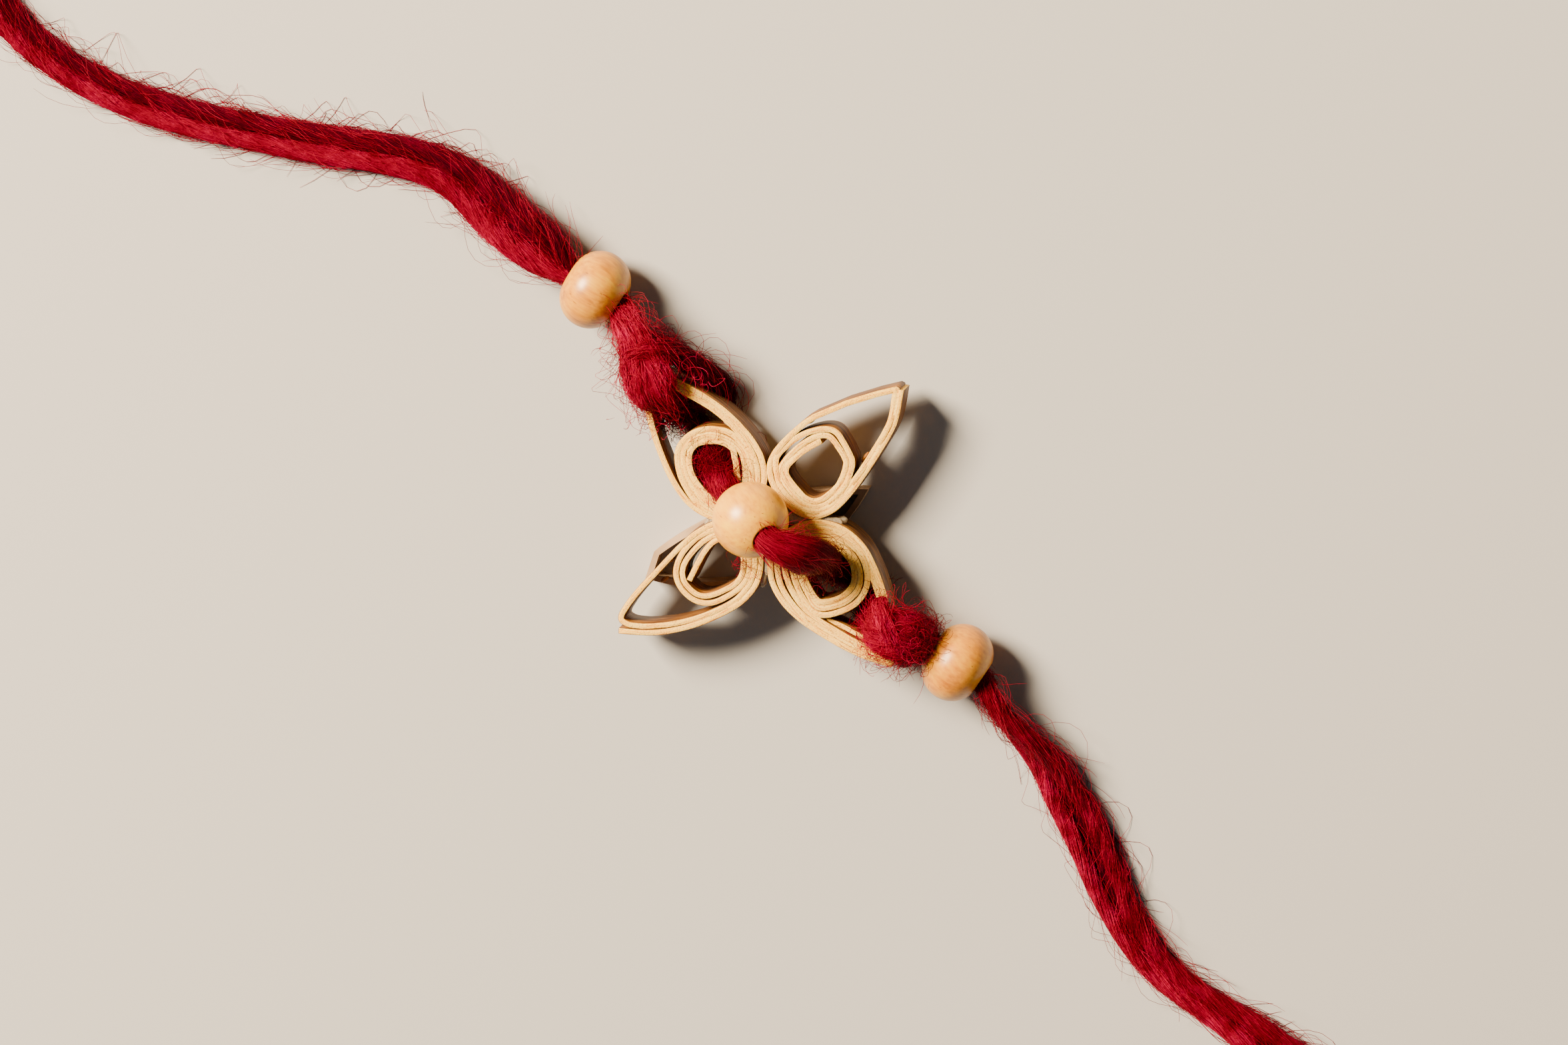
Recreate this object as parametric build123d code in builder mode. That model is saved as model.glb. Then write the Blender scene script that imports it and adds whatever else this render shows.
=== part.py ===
"""Rakhi: a quilled four-petal flower and three wooden beads on a doubled wool yarn, in millimetres.

The bracelet lies untied on a flat surface at z = 0. +X runs along it, from the left side bead to
the right one, and +Z is up. Each petal is a wood strip wound on edge round an open eye and pinched
to a point. The yarn goes over the left petal's tip, down through its leaf, up through its eye and
the centre bead, and back down through the right petal in the same way.
"""
import os
from collections import namedtuple
from math import atan2, cos, degrees, pi, radians, sin, sqrt, tan

from build123d import *

# Wood strip
STRIP = 0.58            # thickness of one layer
STRIP_HEIGHT = 4.0      # the petals' strip, standing on edge
LOOP_HEIGHT = 2.4       # the lower strip of the loop under the flower
GLUE_LINE = 0.1         # between pieces that are glued together

# Beads
SIDE_BEAD = 8.0         # diameter across the yarn
SIDE_BEAD_LENGTH = 5.8
SIDE_BEAD_RIM = 1.75    # radius of the flat round a mouth
SIDE_BORE = 2.7
SIDE_BEAD_Y = 3.27
CENTRE_BEAD = 7.5
CENTRE_BORE = 2.9
CENTRE_BEAD_LIFT = 0.35  # the yarn holds it this far off the petals
CENTRE_BEAD_X = -1.2     # from the flower's centre
CENTRE_BORE_RISE = 43.0  # degrees, towards the right petal
CENTRE_BORE_BEARING = 10.0

# Yarn
STRAND = 1.6            # diameter of one free strand
BUNDLE = 2.3            # both strands together, where nothing squeezes them
BORE_CLEARANCE = 0.15
FLOOR_GAP = 0.05        # yarn above the surface
NECK_PAST_MOUTH = 0.6   # the squeezed yarn shows this far on the flower's side
FLARE_PAST_MOUTH = 1.4  # and opens into two strands this far out on the other side
LEAST_BEND = 3.0        # least bend radius of a free strand, in its diameters
FULL_BEND = 0.45        # share of the shorter side that the rounding of a corner takes

# Where the flower stands between the beads
FLOWER_REACH = 20.0     # from its centre to a petal's tip; petal_left reaches a hundredth further
HITCH_ROOM = 5.67       # left for the yarn between the flower's reach and a side bead's centre
BEAD_OUT = FLOWER_REACH + HITCH_ROOM
FLOWER_X = 0.1275 * FLOWER_REACH
PETAL_Z = LOOP_HEIGHT + GLUE_LINE
FLOWER_TOP = PETAL_Z + STRIP_HEIGHT

# One row for each petal, its lengths as shares of FLOWER_REACH. Bearing is its axis, in degrees from
# +X. Reach is from the flower's centre to the tip, half_width is the measure of its sides, the eye
# lies eye_out along the axis and eye_side to the left of it, and left and right count the strip
# layers of the two flanks.
Petal = namedtuple("Petal", "name bearing reach half_width eye_out eye_side eye left right")
PETALS = [
    Petal("petal_far", 90.2, 0.96, 0.22, 0.375, 0.0125, 0.135, 1.0, 2.0),
    Petal("petal_near", -97.8, 0.96, 0.225, 0.35, 0.0375, 0.135, 2.0, 1.2),
    Petal("petal_left", 175.0, 1.01, 0.23, 0.37, 0.025, 0.13, 1.0, 2.0),
    Petal("petal_right", -2.2, 0.945, 0.26, 0.415, 0.045, 0.12, 1.6, 2.7),
]

# One row for each corner of a petal's outline, from the left flank round the flower's centre to
# the right flank: along is a share of the reach and side a share of half_width, left positive.
# The tip itself closes the outline.
Corner = namedtuple("Corner", "along side")
OUTLINES = {
    "petal_far": [Corner(0.83, 0.53), Corner(0.61, 0.97), Corner(0.38, 1.11), Corner(0.21, 0.94),
                  Corner(0.135, 0.50), Corner(0.13, -0.10), Corner(0.18, -0.66),
                  Corner(0.30, -0.93), Corner(0.51, -0.93), Corner(0.73, -0.71),
                  Corner(0.91, -0.34)],
    "petal_near": [Corner(0.84, 0.53), Corner(0.61, 1.03), Corner(0.38, 1.24), Corner(0.21, 1.04),
                   Corner(0.125, 0.52), Corner(0.12, -0.15), Corner(0.18, -0.66),
                   Corner(0.32, -0.80), Corner(0.55, -0.72), Corner(0.78, -0.49),
                   Corner(0.93, -0.25)],
    "petal_left": [Corner(0.81, 0.50), Corner(0.60, 0.90), Corner(0.40, 1.12), Corner(0.22, 1.06),
                   Corner(0.12, 0.62), Corner(0.105, -0.02), Corner(0.15, -0.55),
                   Corner(0.28, -0.88), Corner(0.49, -0.98), Corner(0.71, -0.68),
                   Corner(0.89, -0.33)],
    "petal_right": [Corner(0.87, 0.40), Corner(0.68, 0.82), Corner(0.46, 1.12), Corner(0.28, 1.12),
                    Corner(0.16, 0.75), Corner(0.11, 0.15), Corner(0.13, -0.40),
                    Corner(0.25, -0.77), Corner(0.45, -0.83), Corner(0.70, -0.66),
                    Corner(0.90, -0.34)],
}

# One row for each corner of an eye. Bearing is in degrees from the petal's axis, eye is a share of
# the petal's eye radius, layers counts the strip layers of the coil there, and bend is the share of
# the shorter side that the eye's rounding takes.
Eye = namedtuple("Eye", "bearing eye layers bend")
EYES = {
    "petal_far": [Eye(33, 1.16, 2.2, 0.10), Eye(-18, 1.07, 1.6, 0.40), Eye(-62, 0.98, 2.0, 0.40),
                  Eye(-100, 0.98, 3.0, 0.40), Eye(-135, 1.12, 3.0, 0.40),
                  Eye(-168, 1.26, 3.0, 0.40), Eye(143, 1.18, 4.0, 0.20), Eye(80, 0.68, 4.8, 0.30)],
    "petal_near": [Eye(14, 1.20, 2.2, 0.40), Eye(52, 0.95, 2.6, 0.40), Eye(100, 0.86, 4.0, 0.40),
                   Eye(140, 1.02, 4.0, 0.40), Eye(175, 1.16, 3.0, 0.40),
                   Eye(-148, 1.22, 3.0, 0.40), Eye(-118, 1.15, 3.0, 0.40),
                   Eye(-70, 1.02, 2.5, 0.40), Eye(-18, 1.20, 2.2, 0.40)],
    "petal_left": [Eye(14, 1.13, 2.4, 0.25), Eye(55, 0.90, 3.2, 0.40), Eye(100, 0.96, 4.0, 0.40),
                   Eye(143, 1.40, 3.0, 0.40), Eye(176, 1.55, 2.0, 0.30),
                   Eye(-160, 1.02, 3.0, 0.30), Eye(-130, 0.76, 4.5, 0.30),
                   Eye(-81, 1.04, 4.5, 0.20), Eye(-25, 0.93, 3.2, 0.40)],
    "petal_right": [Eye(8, 0.86, 3.1, 0.40), Eye(45, 0.96, 3.3, 0.40), Eye(78, 1.00, 4.0, 0.40),
                    Eye(118, 1.17, 4.0, 0.40), Eye(158, 1.48, 3.0, 0.30),
                    Eye(-172, 1.45, 2.5, 0.30), Eye(-140, 1.00, 4.0, 0.40),
                    Eye(-104, 0.82, 4.5, 0.40), Eye(-62, 1.15, 2.5, 0.08),
                    Eye(-30, 0.84, 3.2, 0.40)],
}

# The loop under the flower, as shares of FLOWER_REACH from the flower's centre: the corners of its
# blunt near end, its pointed far end, and how far its two long sides bow out.
LOOP_NEAR_LEFT = (-0.285, -0.57)
LOOP_NEAR_RIGHT = (-0.22, -0.70)
LOOP_FAR = (0.235, 0.435)
LOOP_BOW_LEFT = 0.10
LOOP_BOW_RIGHT = 0.22

# One row for each side bead: its side, and the bearing of its bore in degrees from +X. The yarn
# leaves it outwards at the yarn bearing, yarn_side to the left of the bore, opened into a flare
# flare_wide across and flare_tall high, where strand a starts a_side to the left and a_up above.
SideBead = namedtuple("SideBead", "name side bearing yarn yarn_side flare_wide flare_tall a_side a_up")
SIDE_BEADS = [
    SideBead("left", -1, 14.0, 9.0, 0.25, 4.5, 1.9, 1.40, 0.0),
    SideBead("right", 1, 12.0, -8.0, -1.1, 2.0, 3.5, 0.12, 0.86),
]

# Routes of the free strands past the flare, as distances outwards from the side bead's centre, y and
# height, and their first run out of the flare.
FIRST_RUN = 2.9
LIE = FLOOR_GAP + STRAND / 2
ROUTES = {
    "yarn_left_a": [(10.33, 2.9, 3.2), (13.53, 2.5, 2.0), (16.73, 1.9, 1.2), (19.93, 0.9, LIE),
                    (23.13, -0.8, LIE), (26.73, -3.5, LIE), (30.83, -6.7, LIE), (35.43, -10.2, LIE),
                    (40.43, -13.6, LIE), (45.83, -16.9, LIE), (51.53, -19.3, LIE), (57.53, -20.7, LIE),
                    (63.33, -20.5, LIE), (68.53, -18.9, LIE)],
    "yarn_left_b": [(9.93, 0.0, 3.2), (13.13, -0.4, 2.0), (16.33, -0.4, 1.2), (19.43, -1.0, LIE),
                    (22.73, -2.9, LIE), (26.63, -6.1, LIE), (31.13, -9.7, LIE), (36.23, -13.2, LIE),
                    (41.83, -17.1, LIE), (47.93, -20.4, LIE), (54.13, -22.4, LIE), (60.33, -23.1, LIE),
                    (65.93, -22.6, LIE), (70.73, -21.3, LIE)],
    "yarn_right_a": [(10.13, 3.0, 4.0), (13.03, 3.1, 2.9), (15.93, 2.6, 1.8), (19.03, 1.9, 1.05),
                     (22.33, 1.0, LIE), (25.73, -0.6, LIE), (29.63, -2.3, LIE), (33.73, -3.5, LIE),
                     (37.93, -3.6, LIE), (42.23, -2.6, LIE), (46.73, -1.2, LIE), (51.13, -0.4, LIE),
                     (55.33, 0.8, LIE)],
    "yarn_right_b": [(10.03, 1.9, 2.1), (12.83, 1.3, 1.15), (15.63, 0.2, LIE), (18.53, -0.9, LIE),
                     (21.93, -1.9, LIE), (25.73, -3.5, LIE), (29.93, -4.7, LIE), (34.33, -5.5, LIE),
                     (38.73, -5.2, LIE), (43.13, -4.2, LIE), (47.53, -3.7, LIE), (51.93, -2.9, LIE)],
}

# One row for each section of the doubled yarn that the flower holds. Y is a share of FLOWER_REACH
# from the flower's centre. Lift is a share of the flower's top up to 1, and past that counts centre
# beads above it. Wide and thick count strands, and the yarn runs there at a bearing and a rise.
# A wrap runs from a side bead over its petal's tip, down through the leaf and under the petal, and
# its along is the share of the way from the arch's end to the bead's yarn. The arch runs on under
# the left coil, up its eye, and past the centre bead down the right eye, and its along is a share
# of FLOWER_REACH. Both go midway between the surface and the petals.
Section = namedtuple("Section", "along y lift wide thick bearing rise")
UNDER = PETAL_Z / 2 / FLOWER_TOP
TOGETHER = BUNDLE / STRAND
ARCH_START = Section(-0.66, 0.045, UNDER, TOGETHER, TOGETHER, 0, 0)
ARCH_END = Section(0.61, 0.045, UNDER, TOGETHER, TOGETHER, 0, 0)
WRAPS = {
    "left": [Section(0.9291, 0.22, 0.6769, 2.25, 1.625, -5, 18),
             Section(0.7829, 0.205, 0.9231, 3.125, 1.625, -22, 38),
             Section(0.6108, 0.16, 1.1733, 3.375, 1.4375, -28, 22),
             Section(0.4474, 0.105, 1.2267, 3.125, 1.3125, -30, 0),
             Section(0.3183, 0.06, 1.1867, 2.5, 1.1875, -22, -24),
             Section(0.2151, 0.05, 1.04, 1.75, 1.1875, -12, -62),
             Section(0.1721, 0.0475, 0.7692, 1.5625, 1.1875, -5, -80),
             Section(0.1549, 0.045, 0.5231, 1.5, 1.1875, 0, -74),
             Section(0.0946, 0.045, 0.2923, 1.4375, 1.25, 0, -45)],
    "right": [Section(0.8804, 0.13, 0.6923, 2, 1.5, -166, 20),
              Section(0.747, 0.145, 0.9231, 3.0625, 1.5625, -165, 40),
              Section(0.627, 0.13, 1.1467, 3.25, 1.4375, -158, 30),
              Section(0.4535, 0.09, 1.2133, 2.625, 1.3125, -148, -10),
              Section(0.3201, 0.04, 1.1333, 1.6875, 1.125, -142, -50),
              Section(0.2535, 0.02, 0.8308, 1.5625, 1.1875, -150, -80),
              Section(0.2268, 0.025, 0.5231, 1.4375, 1.1875, 180, -76),
              Section(0.1467, 0.035, 0.3, 1.4375, 1.25, 180, -40)],
}
ARCH_LEFT = [Section(-0.545, 0.025, 0.2077, 1.4375, 1.1875, -8, 8),
             Section(-0.44, 0.01, 0.3154, 1.6875, 1.125, -6, 38),
             Section(-0.375, 0, 0.6, 1.9375, 1.3125, -6, 54),
             Section(-0.305, -0.02, 0.9538, 1.8125, 1.25, 0, 52)]
ARCH_RIGHT = [Section(0.155, 0.055, 1.9067, 2.125, 1.375, 18, -5),
              Section(0.245, 0.09, 1.7333, 2.5625, 1.5625, 12, -46),
              Section(0.305, 0.095, 1.44, 2.5, 1.5625, 0, -64),
              Section(0.345, 0.075, 1.0933, 2.125, 1.4375, -15, -72),
              Section(0.385, 0.055, 0.6923, 1.75, 1.375, -15, -68),
              Section(0.44, 0.045, 0.3692, 1.5, 1.25, -8, -45),
              Section(0.515, 0.0425, 0.2077, 1.4375, 1.1875, 0, -10)]
ARCH_PAST_BORE = 0.25   # the squeezed yarn shows this far past each mouth of the centre bead

# The strand outside and below the left petal, fluffed out: along and y as the wraps have them, and
# height in millimetres.
BEHIND_STRAND = 2.2
BEHIND_LIE = FLOOR_GAP + BEHIND_STRAND / 2
BEHIND = [(0.7915, 0.315, 0.4769 * FLOWER_TOP), (0.6022, 0.31, 0.3692 * FLOWER_TOP), (0.3957, 0.29, 0.2462 * FLOWER_TOP),
          (0.1979, 0.25, BEHIND_LIE), (0.043, 0.21, BEHIND_LIE), (-0.0774, 0.175, BEHIND_LIE)]


def tip_y(petal):
    """How far a petal's tip lies along +Y from the flower's centre."""
    return FLOWER_REACH * petal.reach * sin(radians(petal.bearing))


FLOWER_Y = -(tip_y(PETALS[0]) + tip_y(PETALS[1])) / 2
FLOWER = Vector(FLOWER_X, FLOWER_Y, 0)


def heading(bearing, rise=0.0):
    """Unit vector at a bearing from +X and a rise above the floor, in degrees."""
    flat = cos(radians(rise))
    return Vector(flat * cos(radians(bearing)), flat * sin(radians(bearing)), sin(radians(rise)))


def across(bearing):
    """Level unit vector to the left of a bearing."""
    return heading(bearing + 90)


def bend_radii(points, shares=None, closed=False):
    """Arc radius at each corner of a route, from the share of the shorter side that it takes."""
    spots = [Vector(*p) for p in points]
    if closed:
        spots = [spots[-1]] + spots + [spots[0]]
    radii = []
    for i, (before, at, after) in enumerate(zip(spots, spots[1:], spots[2:])):
        turn = radians((at - before).get_angle(after - at))
        share = shares[i] if shares else FULL_BEND
        radii.append(share * min((at - before).length, (after - at).length) / tan(turn / 2))
    return radii


def report_bends(name, radii, diameter):
    """Print a strand's tightest bend, in its own diameters."""
    note = "" if min(radii) >= LEAST_BEND * diameter else "  tighter than LEAST_BEND"
    print(f"{name}: bends {[round(r, 1) for r in radii]}, least {min(radii) / diameter:.1f} d{note}")


def report_volume(name, part, path, diameter):
    """Compare a tube's volume with its section times its length."""
    expected = pi * diameter**2 / 4 * path.length
    print(f"{name}: {path.length:.1f} mm long, volume {part.volume / expected:.4f} of section x length")


def tube(name, points, radii, diameter):
    """A round tube along straight runs and tangent arcs."""
    with BuildPart() as strand:
        with BuildLine() as path:
            FilletPolyline(*points, radius=radii)
        with BuildSketch(Plane(origin=path.wire() @ 0, z_dir=path.wire() % 0)):
            Circle(diameter / 2)
        sweep(path=path.wire())
    strand.part.label = name
    report_volume(name, strand.part, path.wire(), diameter)
    return strand.part


def oval_plane(place, bearing, rise):
    """Plane across the yarn: its x is level, to the left of the way the yarn runs."""
    return Plane(origin=place, x_dir=across(bearing), z_dir=heading(bearing, rise))


def yarn_x(along, neck=None):
    """X of a section: a share of FLOWER_REACH, or of the way from the arch's end to a neck's end."""
    if neck is None:
        return FLOWER_X + along * FLOWER_REACH
    arch_x = FLOWER_X + (ARCH_END if neck.X > 0 else ARCH_START).along * FLOWER_REACH
    return arch_x + along * (neck.X - arch_x)


def yarn_section(row, neck=None):
    """One section of the yarn on the flower, as an oval sketch."""
    height = min(row.lift, 1) * FLOWER_TOP + max(row.lift - 1, 0) * CENTRE_BEAD
    place = (yarn_x(row.along, neck), FLOWER_Y + row.y * FLOWER_REACH, height)
    with BuildSketch(oval_plane(place, row.bearing, row.rise)) as oval:
        Ellipse(row.wide * STRAND / 2, row.thick * STRAND / 2)
    return oval.sketch


os.makedirs("parts", exist_ok=True)
pieces = []

# Petals
for petal in PETALS:
    reach = petal.reach * FLOWER_REACH
    half_width = petal.half_width * FLOWER_REACH
    eye_radius = petal.eye * FLOWER_REACH
    eye_centre = Vector(petal.eye_out, petal.eye_side) * FLOWER_REACH
    plane = Plane(origin=FLOWER + Vector(0, 0, PETAL_Z), x_dir=heading(petal.bearing), z_dir=(0, 0, 1))
    outline = [(reach, 0.0)]
    for row in OUTLINES[petal.name]:
        outline.append((row.along * reach, row.side * half_width))
    outline_radii = bend_radii(outline, closed=True)
    outline_radii[0] = 0
    eye_corners = []
    coil_corners = []
    eye_bends = [row.bend for row in EYES[petal.name]]
    for row in EYES[petal.name]:
        way = heading(row.bearing)
        eye_corners.append(eye_centre + way * row.eye * eye_radius)
        coil_corners.append(eye_centre + way * (row.eye * eye_radius + row.layers * STRIP))

    with BuildSketch() as outer:
        with BuildLine():
            FilletPolyline(*outline, radius=outline_radii, close=True)
        make_face()
    with BuildSketch() as eye:
        with BuildLine():
            FilletPolyline(*eye_corners, radius=bend_radii(eye_corners, eye_bends, True), close=True)
        make_face()
    with BuildSketch() as leaf_hollow:
        add(outer.sketch)
        offset(amount=-min(petal.left, petal.right) * STRIP, mode=Mode.REPLACE)
        with Locations((0, (petal.right - petal.left) * STRIP)):
            add(leaf_hollow.sketch, mode=Mode.INTERSECT)
        with BuildLine():
            FilletPolyline(*coil_corners, radius=bend_radii(coil_corners, closed=True), close=True)
        make_face(mode=Mode.SUBTRACT)
    leaf = leaf_hollow.faces().sort_by(SortBy.AREA)[-1]

    with BuildPart() as body:
        with BuildSketch(plane):
            add(outer.sketch)
            add(eye.sketch, mode=Mode.SUBTRACT)
            add(leaf, mode=Mode.SUBTRACT)
        extrude(amount=STRIP_HEIGHT)
    body.part.label = petal.name
    pieces.append(body.part)

# Loop under the flower
near_left, near_right, far = [Vector(*spot) * FLOWER_REACH for spot in (LOOP_NEAR_LEFT, LOOP_NEAR_RIGHT, LOOP_FAR)]
with BuildPart() as back_loop:
    with BuildSketch(Plane(origin=FLOWER)):
        with BuildLine():
            left_side = SagittaArc(near_left, far, LOOP_BOW_LEFT * FLOWER_REACH)
            right_side = SagittaArc(far, near_right, LOOP_BOW_RIGHT * FLOWER_REACH)
            Line(right_side @ 1, left_side @ 0)
        make_face()
        offset(amount=-STRIP, mode=Mode.SUBTRACT)
    extrude(amount=LOOP_HEIGHT)
back_loop.part.label = "back_loop"
pieces.append(back_loop.part)

# Centre bead
bore_way = heading(CENTRE_BORE_BEARING, CENTRE_BORE_RISE)
centre_spot = FLOWER + Vector(CENTRE_BEAD_X, 0, FLOWER_TOP + CENTRE_BEAD_LIFT + CENTRE_BEAD / 2)
with BuildPart() as bead_centre:
    with Locations(centre_spot):
        Sphere(CENTRE_BEAD / 2)
    with BuildSketch(Plane(origin=centre_spot, z_dir=bore_way)):
        Circle(CENTRE_BORE / 2)
    extrude(amount=CENTRE_BEAD, both=True, mode=Mode.SUBTRACT)
bead_centre.part.label = "bead_centre"
pieces.append(bead_centre.part)

# Side beads with the yarn squeezed through them, its wrap over a petal's tip and its free strands
arch_ends = {"left": ARCH_START, "right": ARCH_END._replace(bearing=180)}
neck_wide = SIDE_BORE - 2 * BORE_CLEARANCE
for row in SIDE_BEADS:
    spot = Vector(row.side * BEAD_OUT, SIDE_BEAD_Y, SIDE_BEAD / 2)
    bore = heading(row.bearing) * row.side
    bore_bearing = degrees(atan2(bore.Y, bore.X))
    with BuildPart() as bead:
        with BuildSketch(Plane(origin=spot, x_dir=bore, z_dir=(0, 0, 1))) as profile:
            with BuildLine():
                rim = (SIDE_BEAD_LENGTH / 2, SIDE_BEAD_RIM)
                swell = ThreePointArc((-rim[0], rim[1]), (0, SIDE_BEAD / 2), rim)
                Polyline(rim, (rim[0], SIDE_BORE / 2), (-rim[0], SIDE_BORE / 2), (-rim[0], rim[1]))
            make_face()
        revolve(axis=Axis(spot, bore))
    bead.part.label = f"bead_{row.name}"
    pieces.append(bead.part)

    # Neck, from the flare outside to a little past the mouth on the flower's side
    yarn_out = heading(row.yarn) * row.side
    out_bearing = degrees(atan2(yarn_out.Y, yarn_out.X))
    mouth = spot + bore * (SIDE_BEAD_LENGTH / 2)
    flare = mouth + bore * FLARE_PAST_MOUTH + across(row.bearing) * row.yarn_side
    inner = spot - bore * (SIDE_BEAD_LENGTH / 2 + NECK_PAST_MOUTH)
    with BuildPart() as neck:
        with BuildSketch(oval_plane(inner, bore_bearing, 0)):
            Circle(neck_wide / 2)
        with BuildSketch(oval_plane(mouth, bore_bearing, 0)):
            Circle(neck_wide / 2)
        loft(ruled=True)
        with BuildSketch(oval_plane(mouth, bore_bearing, 0)):
            Circle(neck_wide / 2)
        with BuildSketch(oval_plane(flare, out_bearing, 0)):
            Ellipse(row.flare_wide / 2, row.flare_tall / 2)
        loft(ruled=True)
    neck.part.label = f"yarn_neck_{row.name}"
    pieces.append(neck.part)

    # Wrap, from the neck over the petal's tip and down to the arch
    if row.name == "left":
        behind = []
        for along, y, height in BEHIND:
            behind.append(Vector(yarn_x(along, inner), FLOWER_Y + y * FLOWER_REACH, height))
    with BuildSketch(oval_plane(inner, bore_bearing + 180, 0)) as at_neck:
        Circle(neck_wide / 2)
    with BuildPart() as wrap:
        add(at_neck.sketch)
        for section in WRAPS[row.name]:
            add(yarn_section(section, inner))
        add(yarn_section(arch_ends[row.name]))
        loft()
    wrap.part.label = f"yarn_wrap_{row.name}"
    pieces.append(wrap.part)

    # Free strands, from the flare outwards
    for strand, sign in (("a", 1), ("b", -1)):
        name = f"yarn_{row.name}_{strand}"
        start = flare + across(row.yarn) * (sign * row.a_side) + Vector(0, 0, sign * row.a_up)
        route = [start, start + yarn_out * FIRST_RUN]
        for out, y, height in ROUTES[name]:
            route.append(Vector(spot.X + row.side * out, y, height))
        radii = bend_radii(route)
        report_bends(name, radii, STRAND)
        pieces.append(tube(name, route, radii, STRAND))

# Strand outside and below the left petal
pieces.append(tube("yarn_behind_left", behind, bend_radii(behind), BEHIND_STRAND))

# Arch: under the left petal, up its eye, through the centre bead and down the right petal's eye
arch_wide = CENTRE_BORE - 2 * BORE_CLEARANCE
mouth_depth = sqrt(CENTRE_BEAD**2 - CENTRE_BORE**2) / 2 + ARCH_PAST_BORE
with BuildPart() as arch:
    for section in [ARCH_START] + ARCH_LEFT:
        add(yarn_section(section))
    for depth in (-mouth_depth, -mouth_depth / 2, 0, mouth_depth / 2, mouth_depth):
        with BuildSketch(oval_plane(centre_spot + bore_way * depth, CENTRE_BORE_BEARING, CENTRE_BORE_RISE)):
            Circle(arch_wide / 2)
    for section in ARCH_RIGHT + [ARCH_END]:
        add(yarn_section(section))
    loft()
arch.part.label = "yarn_arch"
pieces.append(arch.part)

for piece in pieces:
    export_step(piece, f"parts/{piece.label}.step")
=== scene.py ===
"""A rakhi lying untied: a quilled flower of wood strip, three beads and a doubled wool yarn."""
import math
import random
from collections import namedtuple

import bmesh
import bpy
from mathutils import Matrix, Vector, noise


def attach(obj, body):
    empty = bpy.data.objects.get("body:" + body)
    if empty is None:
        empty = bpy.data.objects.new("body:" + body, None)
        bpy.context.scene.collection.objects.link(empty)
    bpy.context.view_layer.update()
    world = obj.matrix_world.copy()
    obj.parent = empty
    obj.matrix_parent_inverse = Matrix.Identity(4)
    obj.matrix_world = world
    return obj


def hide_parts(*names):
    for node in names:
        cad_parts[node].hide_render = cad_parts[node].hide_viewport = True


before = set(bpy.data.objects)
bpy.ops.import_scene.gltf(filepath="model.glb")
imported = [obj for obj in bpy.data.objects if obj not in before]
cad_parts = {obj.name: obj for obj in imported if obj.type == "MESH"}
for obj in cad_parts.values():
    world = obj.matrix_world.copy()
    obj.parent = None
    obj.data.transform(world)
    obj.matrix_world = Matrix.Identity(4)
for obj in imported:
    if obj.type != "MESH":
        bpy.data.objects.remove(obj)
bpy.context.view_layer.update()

MM = 0.001
# without a seed the noise that roughens the shapes would differ from run to run
noise.seed_set(7)


# Camera
# A long lens, 76 degrees above the floor and turned so that the bracelet runs from upper left to
# lower right across the picture.
CAMERA_TARGET = Vector((3.8087, 1.0774, 6.2136)) * MM
CAMERA_BACK = 500 * MM
VIEW_WIDTH = 154.36 * MM
SENSOR = 36
towards = Vector((0, 0.2385, 0.9711)).normalized()
rightwards = Vector((0.697, 0.6963, -0.1710))
rightwards = (rightwards - towards * rightwards.dot(towards)).normalized()
upwards = towards.cross(rightwards)
lens = bpy.data.cameras.new("camera")
lens.sensor_width = SENSOR
lens.lens = SENSOR * CAMERA_BACK / VIEW_WIDTH
lens.clip_start = 0.02
lens.clip_end = 5
camera = bpy.data.objects.new("camera", lens)
bpy.context.scene.collection.objects.link(camera)
turn = Matrix((rightwards, upwards, towards)).transposed().to_4x4()
camera.matrix_world = Matrix.Translation(CAMERA_TARGET + towards * CAMERA_BACK) @ turn
bpy.context.scene.camera = camera


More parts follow.
